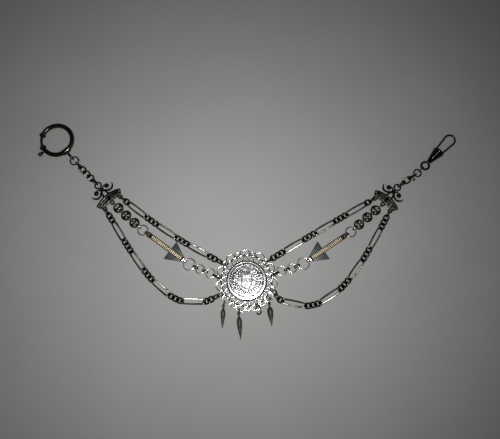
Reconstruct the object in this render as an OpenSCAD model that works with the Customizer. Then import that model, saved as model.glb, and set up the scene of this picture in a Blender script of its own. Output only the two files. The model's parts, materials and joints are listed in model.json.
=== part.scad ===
// Three-strand waistcoat watch chain, lying flat on a surface.
// +X runs to the right along the chain, +Y away from the viewer, +Z up.
// The origin is the middle of the chain's outline, on the surface it lies on.
// Places are counted from the middle of the coin, in millimetres.

/* [Figaro strands] */
// Thickness of the wire of the long and short links
figaro_wire = 1.03; // [0.9:0.01:1.08]
// Outer width of a link
figaro_w = 4.2; // [4:0.05:4.4]
// Step from one short link to the next
short_step = 3.1; // [3:0.02:3.2]
// Gap between two links where they hook
hook_gap = 0.16; // [0.12:0.01:0.2]

/* [Short chains] */
// Thickness of the wire of the curb links
curb_wire = 1; // [0.8:0.02:1]
// Outer width of a curb link
curb_w = 4.5; // [4.4:0.05:4.6]

/* [Joiners] */
// Thickness of the upright links between discs and rings
joiner_wire = 0.64; // [0.5:0.01:0.64]
// Height of a joiner between the middles of its lower and its upper side
joiner_rise = 2.4; // [2.4:0.02:2.5]
// Width of the strap that a joiner is bent from
joiner_w = 1.8; // [1.4:0.05:1.8]

/* [Discs and rings] */
// Outer diameter of a slotted disc
disc_d = 6.7; // [6.4:0.05:6.8]
// Thickness of a disc
disc_h = 1; // [0.8:0.05:1]
// Thickness of the wire of the plain rings
ring_wire = 0.9; // [0.7:0.05:0.9]

/* [Bars] */
// Width of a bar over its ribs
bar_w = 3.4; // [3:0.1:3.4]
// Height of a bar over its ribs
bar_h = 2.2; // [2:0.05:2.2]
// Number of ribs along a bar
bar_ribs = 20; // [16:1:22]
// Width of an arrowhead plate across its base
arrow_w = 14; // [13:0.2:14.4]
// Length of an arrowhead plate from base to tip
arrow_l = 14; // [13:0.2:14.4]
// Thickness of an arrowhead plate
arrow_h = 0.6; // [0.5:0.05:0.7]

/* [Medallion] */
// Diameter of the coin
coin_d = 23.8; // [23.4:0.05:23.8]
// Thickness of the coin
coin_h = 1.8; // [1.5:0.05:1.85]
// Number of large scallops round the frame, with a small one between each two
scallops = 11; // [11:1:11]
// Radius to the middle of the rope ring
rope_r = 16.05; // [16:0.05:16.1]

/* [Bolt ring] */
// Outer diameter of the bolt ring
bolt_ring_d = 23.4; // [23.2:0.1:23.6]
// Diameter of its tube
tube_d = 3; // [2.9:0.05:3]
// Diameter of the sliding bolt
bolt_d = 1.7; // [1.6:0.02:1.74]
// How far the bolt slides open, in degrees round the ring
bolt_travel = 50; // [45:1:50]

/* [Swivel clip] */
// Length of the clip from the middle of its eye to the tip of its hook
clip_l = 27.3; // [27:0.1:27.6]
// Largest diameter of the barrel
barrel_d = 7.7; // [7.6:0.05:7.8]
// Thickness of the hook's wire
hook_wire = 1.15; // [1.1:0.01:1.16]

/* [Hidden] */
$fn = 48;

// Wires: radii worked out from the thicknesses above
fig_r = figaro_wire / 2;
narrow_wire = 0.86;             // of the narrow links at the strands' ends
narrow_r = narrow_wire / 2;
curb_r = curb_wire / 2;
join_r = joiner_wire / 2;
ring_r = ring_wire / 2;
join_v = joiner_rise / 2;

// Heights above the surface
flat_z = join_v + join_r;       // middle of everything that joiners hold
fig_z = 1.29;                   // axis of a figaro strand
curb_z = 1.25;                  // axis of a short chain

// Turns of a curb link's two ends about its own length, from flat
short_turn = -42;
long_turn = -37;
upright = -90;
curb_turn = 42;                 // the short chains' links turn the other way
curb_upright = 90;

// Half width of a link, from its axis to the middle of its wire
fig_v = (figaro_w - figaro_wire) / 2;
curb_v = (curb_w - curb_wire) / 2;
bite = figaro_wire + hook_gap;  // how far two hooked links overlap
short_u = (short_step + bite) / 2;
first_v = 1.25;                 // half width of the narrow link next to a crown

// Middle of the outline, counted from the coin's middle
outline_mid = [-0.356, 34.287];

// A point at a distance and a compass angle
function polar(r, a) = [r * cos(a), r * sin(a)];

// Crowns: where their bands lie and which way their eyes point
left_crown_at = [-89.2, 52.7];
left_crown_up = 131;
right_crown_at = [90.2, 51.5];
right_crown_up = 48;
crown_eye_y = 12.5;             // eye above the band's middle
crown_eye_r = 2.05;             // to the middle of its wire
crown_eye_wire = 1;
crown_eye_z = 1.87;
crown_loop = [6.3, -3];         // an outer loop below the band
crown_mid_y = -2.6;             // the middle loop
crown_loop_r = 1.15;
crown_loop_wire = 0.9;
crown_loop_z = 1.75;            // the outer loops; the middle one lies lower
function crown_point(at, up, p) = at + [p.x * sin(up) + p.y * cos(up), -p.x * cos(up) + p.y * sin(up)];

// Medallion frame
frame_h = 0.76;                 // thickness of its flat wires
frame_wire = 0.74;
rope_wire = 0.9;
large_reach = 19.6;             // to the middle of a large scallop's wire
small_reach = 18.6;
large_loop_r = 3.4;
small_loop_r = 2.45;
scallop_start = 93.5;           // angle of the top scallop
bezel_r = 12.85;
bezel_h = 2.5;
function large_at(k) = scallop_start - k * 360 / scallops;
function small_at(k) = large_at(k) - 180 / scallops;

// Rings that tie strands to the scallops: place, radius, direction of their long axis, lean
tie_wire = 0.8;
tie_r = tie_wire / 2;
TIE_AT = 0;
TIE_R = 1;
TIE_YAW = 2;
TIE_LEAN = 3;
left_top_tie = [[-15.17, 11.08, 1.75], 1.75, 148.8, 50];
left_low_tie = [[-16.75, -9.06, 2.01], 2, 195.8, 54.5];
right_low_tie = [[17.46, -7.6, 1.93], 2, -59.4, 49];

// A cubic curve through four control points and a straight end, as rows of length so far, x and y
curve_steps = 90;
function cubic(p, t) = pow(1 - t, 3) * p[0] + 3 * pow(1 - t, 2) * t * p[1]
    + 3 * (1 - t) * t * t * p[2] + pow(t, 3) * p[3];
function curve(p) = [for (i = 0, s = 0; i <= curve_steps;
    s = s + norm(cubic(p, min(1, (i + 1) / curve_steps)) - cubic(p, i / curve_steps)), i = i + 1)
    concat([s], cubic(p, i / curve_steps))];
function walk(p) = let (rows = curve(p))
    len(p) == 4 ? rows : concat(rows, [concat([length_of(rows) + norm(p[4] - p[3])], p[4])]);
function column(rows, c) = [for (r = rows) [r[0], r[c]]];
function length_of(rows) = rows[len(rows) - 1][0];

// Strands: control points, links from the crown inwards (s short, l long), turn of the last end
// and its height
top_loop_left = crown_point(left_crown_at, left_crown_up, crown_loop);
low_loop_left = crown_point(left_crown_at, left_crown_up, [-crown_loop.x, crown_loop.y]);
top_loop_right = crown_point(right_crown_at, right_crown_up, [-crown_loop.x, crown_loop.y]);
low_loop_right = crown_point(right_crown_at, right_crown_up, crown_loop);
hook_in = crown_loop_r - crown_loop_wire / 2 - narrow_r - hook_gap;
tie_gap = 0.31;                 // the ties lean, so their links need more room
function tie_end(tie, turn) = [tie[TIE_AT].x, tie[TIE_AT].y]
    + polar(tie[TIE_R] - tie_r - narrow_r - tie_gap, turn);
S_PATH = 0;
S_LINKS = 1;
S_LAST = 2;
S_LAST_Z = 3;
left_top = [[top_loop_left + polar(hook_in, -38), [-63.3, 39.1], [-44.4, 25.3],
    tie_end(left_top_tie, 150)], "sslssslssslsss", -short_turn, left_top_tie[TIE_AT].z];
left_low = [[low_loop_left + polar(hook_in, -58), [-74, 20], [-50, -30],
    tie_end(left_low_tie, 200) + [-0.02, 0.07]], "ssslssslssslssslsss", -short_turn, 2.04];
right_top = [[top_loop_right + polar(hook_in, 212), [60.1, 40.2], [35.3, 25.6],
    [12.73, 11.93]], "sslssslssslssss", -upright, 1.74];
right_low = [[low_loop_right + polar(hook_in, 238), [72.3, 8.3], [52, -28.9], [19.75, -11.49],
    tie_end(right_low_tie, -58)], "sssslssslssslssslss", -short_turn, right_low_tie[TIE_AT].z];

// Middle strands, from the crown inwards: three discs, then rings a to d
left_discs = [[-83.4, 47.1], [-78.1, 42.1], [-72.5, 37.2]];
right_discs = [[83.7, 45.6], [78.1, 40.9], [72.5, 36.1]];
left_rings = [[-66.9, 32.4], [-36.4, 10.3], [-29.5, 7.1], [-23, 4.6]];
right_rings = [[67, 31.3], [36.1, 10.9], [28.8, 7.9], [22.1, 6.2]];
ring_radii = [3.25, 3.75, 2.75, 2.9];   // to the middle of the wire
disc_slot_r = 2.35;
disc_bar_w = 1;
disc_grip = 1.58;               // from a disc's middle to the joiner's end in its slot
join_gap = 0.14;
last_joiner_w = 1.4;            // the joiner in a scallop is narrower
scallop_grip = 1.35;            // from a scallop's wire to the joiner's end inside it
left_scallop = polar(small_reach - scallop_grip, 175);
right_scallop = polar(small_reach - scallop_grip, 12.2);
function ring_grip(r, w = joiner_w) = sqrt(pow(r - ring_r - 0.1, 2) - pow(w / 2, 2)) - join_r;
function heading(a, b) = atan2(b.y - a.y, b.x - a.x);
function toward(a, b, d) = a + d * (b - a) / norm(b - a);

// Bars: upright strap eyes at both ends that hold rings a and b
bar_z = 1.6;
bar_eye_r = 1;
bar_eye_wire = 0.7;
bar_eye_w = 2;
bar_eye_in = 0.09;              // the eyes are this far inside the rings, which curve away in them
bar_inset = 0.25;               // depth of the grooves between ribs
ferrule_l = 3.4;
ferrule_end_l = 1.5;            // its square end
cap_l = 1.8;
arrow_tip_from_b = 1.9;         // from the middle of ring b back to the tip

// Left short chain: bolt ring, snap ring, curb links, crown
bolt_at = [-126.7, 93.4];
bolt_z = 2.3;                   // the collars rest on the surface
bolt_r = (bolt_ring_d - tube_d) / 2;
bolt_out = -48.5;               // angle of the sleeve and neck
mouth_low = 208.7;              // the ring's opening, between its two mouths
mouth_high = 163.5;
bore_d = 2.1;
collar_d = 4.6;
collar_turn = 6;
sleeve_d = 3.7;
sleeve_turn = 28;
tag_from_centre = 16.4;
tag_r = 1.35;
tag_wire = 1.1;
bolt_tip = 158;
bolt_root = 235;
knob_turn = 224.6;
knob_from_centre = 14.3;
knob_d = 2.9;
post_d = 1;
slot_w = 1.3;
slot_end_gap = 3.2;             // degrees left beyond the post at each end of the slot
snap_from_centre = 19.15;
snap_r = 2.7;
snap_wire = 1;
snap_z = 2.03;
snap_tilt = 2.9;                // its bolt side lies higher

// Right short chain: swivel clip, clip ring, curb links, crown
clip_at = [117.8, 75.7];
clip_yaw = 45.4;
clip_z = 2;
clip_lift = 8.35;               // the barrel's wide end rests, so the hook is raised
clip_eye_r = 2.5;
clip_eye_wire = 1.4;
stem_d = 1.2;
stem_head_d = 2.2;
barrel_start = 3.5;
barrel_end = 13.5;
neck_d = 3.1;
swivel_gap = 0.08;
shoulder_l = 1;
cavity_start = 4.5;
cavity_end = 6.4;
hook_r = 3.45;                  // bend of the hook, to the middle of its wire
hook_root = [12.6, 2.3];        // where the hook's two legs start in the barrel
nose_angle = 42;                // the fixed nose ends here, right of the clip's length
gate_angle = 40;                // the gate reaches this far, inside the nose
parting_r = 13.26;              // their slanted ends meet on this arc round the gate's pin
parting_gap = 0.12;
gate_travel = 15;
pivot_pin_d = 0.7;
pivot_eye_d = 1.9;
gate_h = 1.1;
gate_slot_w = 1.5;
clip_ring_at = [112.44, 70.74];
clip_ring_r = 2.4;
clip_ring_z = 1.8;
clip_link_wire = 0.8;
clip_link_rise = 2.44;
spare_ring_at = [109.44, 67.21];

// Drops: place of the link they hang from, its half length and half width, direction, tilt and
// lean, then the drop's tip and diameter
DROP_AT = 0;
DROP_U = 1;
DROP_V = 2;
DROP_YAW = 3;
DROP_TILT = 4;
DROP_LEAN = 5;
DROP_TIP = 6;
DROP_D = 7;
drop_left_row = [[-14.07, -14.27, 1.65], 1.65, 1.2, 255.5, 0, -85.4, [-15.1, -29.5], 3];
drop_middle_row = [[-4.84, -19.03, 1.79], 1.51, 1.5, 268.2, 0, 72.3, [-3.6, -36.5], 3.3];
drop_right_row = [[14.44, -12.43, 1.58], 2.15, 1.15, 263.6, 12, -65.3, [15.7, -28.4], 3.8];
drop_wire = 0.66;
drop_eye_r = 0.78;
drop_eye_wire = 0.56;
empty_ring_at = [7.45, -18.32, 1.64];
empty_ring_yaw = 280.6;
empty_ring_u = 2.6;
empty_ring_v = 1.8;
empty_ring_wire = 0.9;
empty_ring_lean = 37.3;

// The names of what repeats
long_counts = [3, 4, 3, 4];
long_names = ["left_top_long_", "left_low_long_", "right_top_long_", "right_low_long_"];

// Moves a piece from the coin's middle to the middle of the outline
module placed() {
    translate([-outline_mid.x, -outline_mid.y, 0]) children();
}

// A round ring of wire: r to the middle of the wire, leaning about its own x
module wire_ring(at, r, wire, z = flat_z, yaw = 0, lean = 0, tilt = 0) {
    translate([at.x, at.y, z]) rotate([0, tilt, yaw]) rotate([lean, 0, 0])
        rotate_extrude() translate([r, 0]) circle(d = wire);
}

// An oval ring of wire with straight sides, u and v to the middle of the wire. The sides are a
// hair thinner than the ends and reach into them, so that the two are one solid
hair = 0.02;
side_in = 0.1;
module oval_ring(u, v, wire) {
    for (end = [0, 180]) rotate([0, 0, end]) {
        translate([u - v, 0, 0]) rotate([0, 0, -90])
            rotate_extrude(angle = 180) translate([v, 0]) circle(d = wire);
        translate([v - u - side_in, v, 0]) rotate([0, 90, 0])
            cylinder(d = wire - hair, h = 2 * (u - v + side_in));
    }
}

// Closed line of a curb link, seen flat: two half circles, and where its twist stops
arc_steps = 5;
function oval_line(u, v, run) = concat(
    [for (k = [0:arc_steps]) [u - v, 0] + polar(v, 90 - k * 180 / arc_steps)],
    run < u ? [[u - run, -v], [run - u, -v]] : [],
    [for (k = [0:arc_steps]) [v - u, 0] + polar(v, -90 - k * 180 / arc_steps)],
    run < u ? [[run - u, v], [u - run, v]] : []);
function turn_at(x, u, run, a, b) =
    (a + b) / 2 + sign(x) * max(0, abs(x) - u + run) / run * (b - a) / 2;
function unit(v) = v / norm(v);

// A curb link: wire swept round the line, its tail turned by a and its head by b
sides = 6;
module curb_link(u, v, wire, a, b, run) {
    line = oval_line(u, v, run);
    n = len(line);
    p = [for (q = line) let (t = turn_at(q.x, u, run, a, b)) [q.x, q.y * cos(t), q.y * sin(t)]];
    points = [for (i = [0:n - 1]) let (
        t = turn_at(line[i].x, u, run, a, b),
        along = unit(p[(i + 1) % n] - p[(i + n - 1) % n]),
        side = unit(cross([0, -sin(t), cos(t)], along)),
        up = cross(along, side))
        for (turn = [0:360 / sides:359]) p[i] + wire / 2 * (cos(turn) * side + sin(turn) * up)];
    faces = [for (i = [0:n - 1], j = [0:sides - 1]) let (
        i2 = (i + 1) % n,
        j2 = (j + 1) % sides)
        [i * sides + j, i * sides + j2, i2 * sides + j2, i2 * sides + j]];
    polyhedron(points, faces, convexity = 4);
}

// Lays a piece that runs along its own x between two points
module lay(tail, head) {
    d = head - tail;
    translate((tail + head) / 2) rotate([0, -asin(d.z / norm(d)), atan2(d.y, d.x)]) children();
}

// Figaro strands: the long links' half length makes the strand fit its route
function count_of(links, kind) = len([for (c = links) if (c == kind) 1]);
function long_half(strand) = (length_of(walk(strand[S_PATH])) + (len(strand[S_LINKS]) - 1) * bite
    - count_of(strand[S_LINKS], "s") * 2 * short_u) / count_of(strand[S_LINKS], "l") / 2;
function tails(halves, i = 0, s = 0) =
    i == len(halves) ? [] : concat([s], tails(halves, i + 1, s + 2 * halves[i] - bite));
first_z = 1.8;
settle = 7;                     // length over which a strand comes down to the surface
function strand_point(rows, s, last_z) = let (l = length_of(rows)) [
    lookup(s, column(rows, 1)), lookup(s, column(rows, 2)),
    lookup(s, [[0, first_z], [settle, fig_z], [l - settle, fig_z], [l, last_z]])];
module strand_links(strand, kind, wanted = 0) {
    rows = walk(strand[S_PATH]);
    links = strand[S_LINKS];
    last = len(links) - 1;
    halves = [for (c = links) c == "l" ? long_half(strand) : short_u];
    starts = tails(halves);
    for (i = [0:last]) {
        number = len([for (k = [0:i]) if (links[k] == kind) 1]);
        if (links[i] == kind && (wanted == 0 || wanted == number))
            lay(strand_point(rows, starts[i], strand[S_LAST_Z]),
                strand_point(rows, starts[i] + 2 * halves[i], strand[S_LAST_Z])) {
                narrow = i == 0 || (i == last && strand[S_LAST] != short_turn);
                if (kind == "l") curb_link(halves[i], fig_v, figaro_wire, -long_turn, long_turn, halves[i]);
                else curb_link(short_u, narrow ? first_v : fig_v, narrow ? narrow_wire : figaro_wire,
                    i == 0 ? upright : -short_turn, i == last ? strand[S_LAST] : short_turn, short_u);
            }
    }
}
module left_short_links() {
    color("dimgray") placed() {
        strand_links(left_top, "s");
        strand_links(left_low, "s");
    }
}
module right_short_links() {
    color("dimgray") placed() {
        strand_links(right_top, "s");
        strand_links(right_low, "s");
    }
}
module long_link(strand, i) {
    color("gray") placed() strand_links(strand, "l", i);
}

// Short chains of curb links between a start ring and a crown's eye
chain_end_z = 1.9;
chain_settle = 7.3;
function curb_links(from, to, n) = let (
    step = (norm(to - from) + (n - 1) * (curb_wire + hook_gap)) / n)
    [for (i = [0:n - 1]) let (s = i * (step - curb_wire - hook_gap)) [s, s + step]];
module short_chain(from, to, n, i) {
    ends = curb_links(from, to, n)[i - 1];
    u = (ends[1] - ends[0]) / 2;
    l = norm(to - from);
    z = function (s) lookup(s, [[0, chain_end_z], [chain_settle, curb_z], [l - chain_settle, curb_z],
        [l, chain_end_z]]);
    lay(concat(toward(from, to, ends[0]), z(ends[0])), concat(toward(from, to, ends[1]), z(ends[1])))
        curb_link(u, i == 1 || i == n ? first_v : curb_v, curb_wire, i == 1 ? curb_upright : -curb_turn,
            i == n ? -curb_upright : curb_turn, u);
}
left_chain_from = bolt_at + polar(snap_from_centre + snap_r - snap_wire - hook_gap, bolt_out);
left_chain_to = crown_point(left_crown_at, left_crown_up,
    [0, crown_eye_y + crown_eye_r - crown_eye_wire / 2 - curb_r - hook_gap]);
module left_link(i) {
    color("dimgray") placed() short_chain(left_chain_from, left_chain_to, 5, i);
}
right_chain_to = crown_point(right_crown_at, right_crown_up,
    [0, crown_eye_y + crown_eye_r - crown_eye_wire / 2 - curb_r - hook_gap]);
right_chain_from = toward(clip_ring_at, right_chain_to, clip_ring_r - curb_wire - hook_gap);
module right_link(i) {
    color("dimgray") placed() short_chain(right_chain_from, right_chain_to, 3, i);
}
module snap_ring() {
    color("dimgray") placed()
        wire_ring(bolt_at + polar(snap_from_centre, bolt_out), snap_r, snap_wire, snap_z, bolt_out, 0,
            snap_tilt);
}
module clip_ring() {
    color("dimgray") placed() wire_ring(clip_ring_at, clip_ring_r, curb_wire, clip_ring_z);
}
module clip_link() {
    grip = (curb_wire + clip_link_wire) / 2 + join_gap;
    from = toward(clip_ring_at, clip_at, clip_ring_r - grip);
    to = toward(clip_at, clip_ring_at, clip_eye_r - (clip_eye_wire - curb_wire) / 2 - grip);
    z = (clip_link_rise + clip_link_wire) / 2;
    color("dimgray") placed() lay(concat(from, z), concat(to, z))
        rotate([90, 0, 0]) oval_ring(norm(to - from) / 2, clip_link_rise / 2, clip_link_wire);
}
module spare_ring() {
    color("dimgray") placed() wire_ring(spare_ring_at, 1.8, 0.72, 2.19, -77.6, -49);
}

// Crown: band with pierced dots, two scrolls round their balls, stem, eye and three loops
band_h = 2.6;
scroll_h = 1.6;
band_outline = [[-9.6, 1.4], [-7.6, -2], [-4, -1.4], [0, -1.2], [4, -1.4], [7.6, -2], [9.6, 1.4],
    [8.2, 2.6], [4.4, 3.8], [0, 4.4], [-4.4, 3.8], [-8.2, 2.6]];
dot_places = [[3.2, 1.5], [6.4, 0.9]];
dot_d = 1.1;
ball_at = [4.2, 9];
ball_d = 3.3;
scroll_at = [4.7, 8.3];
scroll_r = 3.5;
scroll_cut = 0.9;               // how far the inner circle moves up to leave a crescent
scroll_cut_r = 3;
module scroll() {
    difference() {
        translate(scroll_at) circle(scroll_r);
        translate([scroll_at.x, scroll_at.y + scroll_cut]) circle(scroll_cut_r);
        translate([scroll_at.x, scroll_at.y + scroll_r]) square([4 * scroll_r, 3.6], center = true);
    }
    translate(ball_at) circle(d = ball_d);
    translate([0.4, 7.6]) square([3, 1.3]);
}
stem_w = 1.1;
module crown_scrolls() {
    for (side = [0, 1]) mirror([side, 0]) {
        scroll();
        translate([1.1, 3.6]) square([stem_w, 5]);
    }
    translate([-2.2, 7.4]) square([4.4, 1.6]);
    translate([-stem_w / 2, 8.8]) square([stem_w, crown_eye_y - crown_eye_r - 8.8]);
}
module crown() {
    difference() {
        linear_extrude(band_h) polygon(band_outline);
        for (side = [-1, 1], p = dot_places)
            translate([side * p.x, p.y, -1]) cylinder(d = dot_d, h = band_h + 2);
    }
    translate([0, 0, flat_z - scroll_h / 2]) linear_extrude(scroll_h) crown_scrolls();
    wire_ring([0, crown_eye_y], crown_eye_r, crown_eye_wire, crown_eye_z);
    wire_ring([0, crown_mid_y], crown_loop_r, crown_loop_wire);
    for (side = [-1, 1])
        wire_ring([side * crown_loop.x, crown_loop.y], crown_loop_r, crown_loop_wire, crown_loop_z);
}
module left_crown() {
    color("darkslategray") placed()
        translate([left_crown_at.x, left_crown_at.y, 0]) rotate([0, 0, left_crown_up - 90]) crown();
}
module right_crown() {
    color("darkslategray") placed()
        translate([right_crown_at.x, right_crown_at.y, 0]) rotate([0, 0, right_crown_up - 90]) crown();
}

// Bolt ring: hollow tube with a slot for the knob, collars at both mouths, sleeve, neck and eye
module ring_arc(from, to) {
    rotate([0, 0, from]) rotate_extrude(angle = to - from) children();
}
knob_slot_from = knob_turn - slot_end_gap;
knob_slot_to = knob_turn + bolt_travel + slot_end_gap;
module bolt_ring_tube() {
    color("dimgray") placed() translate([bolt_at.x, bolt_at.y, bolt_z]) {
        difference() {
            union() {
                ring_arc(mouth_low, mouth_high + 360) translate([bolt_r, 0]) circle(d = tube_d);
                ring_arc(mouth_low, mouth_low + collar_turn) translate([bolt_r, 0]) circle(d = collar_d);
                ring_arc(mouth_high - collar_turn, mouth_high) translate([bolt_r, 0]) circle(d = collar_d);
                ring_arc(bolt_out - sleeve_turn / 2, bolt_out + sleeve_turn / 2)
                    translate([bolt_r, 0]) circle(d = sleeve_d);
                rotate([0, 0, bolt_out]) {
                    translate([bolt_r + 1.5, 0, 0]) rotate([0, 90, 0])
                        cylinder(d1 = 2.6, d2 = 1.5, h = tag_from_centre - tag_r - bolt_r - 1.5);
                    translate([tag_from_centre, 0, 0]) rotate([90, 0, 0])
                        rotate_extrude() translate([tag_r, 0]) circle(d = tag_wire);
                }
            }
            ring_arc(mouth_low - 2, mouth_high + 362) translate([bolt_r, 0]) circle(d = bore_d);
            ring_arc(knob_slot_from, knob_slot_to) translate([bolt_r, -slot_w / 2]) square([3, slot_w]);
        }
    }
}
module bolt_ring_bolt() {
    color("gray") placed() translate([bolt_at.x, bolt_at.y, bolt_z]) {
        ring_arc(bolt_tip, bolt_root) translate([bolt_r, 0]) circle(d = bolt_d);
        rotate([0, 0, knob_turn]) {
            translate([bolt_r, 0, 0]) rotate([0, 90, 0])
                cylinder(d = post_d, h = knob_from_centre - bolt_r);
            translate([knob_from_centre, 0, 0]) sphere(d = knob_d);
        }
    }
}

// Swivel clip, drawn along its own x from the middle of its eye
module at_clip() {
    placed() translate([clip_at.x, clip_at.y, clip_z]) rotate([0, -clip_lift, clip_yaw]) children();
}
module along(from, to, d1, d2) {
    translate([from, 0, 0]) rotate([0, 90, 0]) cylinder(d1 = d1, d2 = d2, h = to - from);
}
module clip_eye() {
    color("dimgray") at_clip() {
        rotate_extrude() translate([clip_eye_r, 0]) circle(d = clip_eye_wire);
        along(clip_eye_r, cavity_start + 0.9, stem_d, stem_d);
        along(cavity_start + 0.2, cavity_start + 1.2, stem_head_d, stem_head_d);
    }
}
hook_mid = clip_l - hook_wire / 2 - hook_r;     // middle of the hook's bend
leg = [hook_mid, 0] - [hook_root.x, hook_root.y];
leg_from = norm(leg);
leg_turn = atan2(hook_root.y, hook_mid - hook_root.x) - asin(hook_r / leg_from);
leg_l = sqrt(pow(leg_from, 2) - pow(hook_r, 2));
module leg_and_bend(end_angle, start = 0) {
    translate([hook_root.x, -hook_root.y, 0]) rotate([0, 0, leg_turn])
        translate([start, 0, 0]) rotate([0, 90, 0])
            cylinder(d = hook_wire - hair, h = leg_l - start + side_in);
    translate([hook_mid, 0, 0]) ring_arc(leg_turn - 90, -end_angle)
        translate([hook_r, 0]) circle(d = hook_wire);
}
module round_gate_pin(r) {
    translate([hook_root.x, -hook_root.y, -hook_wire]) cylinder(r = r, h = 2 * hook_wire);
}
module clip_barrel() {
    color("darkslategray") at_clip() {
        difference() {
            union() {
                along(barrel_start, barrel_end - shoulder_l, neck_d, barrel_d);
                along(barrel_end - shoulder_l, barrel_end, barrel_d, barrel_d - 0.9);
            }
            along(barrel_start - 1, cavity_end, stem_d + 2 * swivel_gap, stem_d + 2 * swivel_gap);
            along(cavity_start, cavity_end, stem_head_d + 2 * swivel_gap, stem_head_d + 2 * swivel_gap);
            translate([hook_root.x - 1.3, -barrel_d, -gate_slot_w / 2])
                cube([4, barrel_d - 0.9, gate_slot_w]);
        }
        translate([hook_root.x, -hook_root.y, -barrel_d / 4]) cylinder(d = pivot_pin_d, h = barrel_d / 2);
        difference() {
            mirror([0, 1, 0]) leg_and_bend(-nose_angle);
            intersection() {
                round_gate_pin(parting_r + parting_gap / 2);
                translate([hook_mid, -2 * hook_r, -hook_wire]) cube([2 * hook_r, 2 * hook_r, 2 * hook_wire]);
            }
        }
    }
}
module clip_gate() {
    color("dimgray") at_clip() difference() {
        union() {
            intersection() {
                leg_and_bend(gate_angle, 0.6);
                round_gate_pin(parting_r - parting_gap / 2);
            }
            translate([hook_root.x, -hook_root.y, -gate_h / 2]) cylinder(d = pivot_eye_d, h = gate_h);
        }
        translate([hook_root.x, -hook_root.y, -gate_h]) cylinder(d = pivot_pin_d + 0.12, h = 2 * gate_h);
    }
}

// Discs: a thick rim with a bar across, which leaves two slots
module disc(at, toward_next) {
    color("dimgray") placed() translate([at.x, at.y, flat_z - disc_h / 2]) rotate([0, 0, toward_next])
        linear_extrude(disc_h) {
            difference() {
                circle(d = disc_d);
                circle(disc_slot_r);
            }
            square([disc_bar_w, 2 * disc_slot_r + 0.4], center = true);
        }
}
module plain_ring(rings, k) {
    color("silver") placed() wire_ring(rings[k], ring_radii[k], ring_wire);
}

// Ribbed bar between rings a and b, with the arrowhead plate soldered under it
module strip(from, to, inset = 0) {
    y = bar_w / 2 - inset;
    z = bar_h / 2 - inset;
    c = 0.45;
    translate([from, 0, bar_z]) rotate([90, 0, 90]) linear_extrude(to - from)
        polygon([[c - y, -z], [y - c, -z], [y, c - z], [y, z - c], [y - c, z], [c - y, z], [-y, z - c],
            [-y, c - z]]);
}
module bar(rings) {
    a = toward(rings[0], rings[1], ring_radii[0] - bar_eye_in);
    b = toward(rings[1], rings[0], ring_radii[1] - bar_eye_in);
    l = norm(b - a);
    rib_from = bar_eye_r + ferrule_l;
    rib_to = l - bar_eye_r - cap_l;
    rib = (rib_to - rib_from) / bar_ribs;
    body_end = bar_eye_r - 0.2;
    placed() translate([a.x, a.y, 0]) rotate([0, 0, heading(a, b)]) {
        color("goldenrod") {
            strip(body_end, l - body_end, bar_inset);
            strip(body_end, body_end + ferrule_end_l);
            for (k = [0:bar_ribs - 1]) strip(rib_from + k * rib, rib_from + (k + 0.5) * rib);
            strip(rib_to, l - body_end);
        }
        for (x = [0, l]) color("silver") translate([x, 0, flat_z]) rotate([90, 0, 0])
            linear_extrude(bar_eye_w, center = true) difference() {
                circle(bar_eye_r + bar_eye_wire / 2);
                circle(bar_eye_r - bar_eye_wire / 2);
            }
        tip = l + ring_radii[1] - bar_eye_in - arrow_tip_from_b;
        color("slategray") linear_extrude(arrow_h)
            polygon([[tip, 0], [tip - arrow_l, arrow_w / 2], [tip - arrow_l, -arrow_w / 2]]);
    }
}
module left_bar() { bar(left_rings); }
module right_bar() { bar(right_rings); }

// Joiners: small upright ovals, each from inside one piece to inside the next. They are bent from
// strap, but for the one in the crown's small loop, which is of wire
module oval(u, v) {
    for (x = [v - u, u - v]) translate([x, 0]) circle(v);
    square([2 * (u - v), 2 * v], center = true);
}
module joiner(a, grip_a, b, grip_b, w) {
    from = toward(a, b, grip_a);
    to = toward(b, a, grip_b);
    u = norm(to - from) / 2;
    lay(concat(from, flat_z), concat(to, flat_z)) rotate([90, 0, 0])
        if (w == 0) oval_ring(u, join_v, joiner_wire);
        else linear_extrude(w, center = true) difference() {
            oval(u + join_r, join_v + join_r);
            oval(u - join_r, join_v - join_r);
        }
}
loop_grip = crown_loop_r - (crown_loop_wire + joiner_wire) / 2 - join_gap;
module side_joiners(loop, discs, rings, scallop) {
    joiner(loop, loop_grip, discs[0], disc_grip, 0);
    for (k = [0, 1]) joiner(discs[k], disc_grip, discs[k + 1], disc_grip, joiner_w);
    joiner(discs[2], disc_grip, rings[0], ring_grip(ring_radii[0]), joiner_w);
    for (k = [1, 2])
        joiner(rings[k], ring_grip(ring_radii[k]), rings[k + 1], ring_grip(ring_radii[k + 1]), joiner_w);
    joiner(rings[3], ring_grip(ring_radii[3], last_joiner_w), scallop, 0, last_joiner_w);
}
module joiner_links() {
    color("dimgray") placed() {
        side_joiners(crown_point(left_crown_at, left_crown_up, [0, crown_mid_y]), left_discs, left_rings,
            left_scallop);
        side_joiners(crown_point(right_crown_at, right_crown_up, [0, crown_mid_y]), right_discs,
            right_rings, right_scallop);
    }
}

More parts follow.
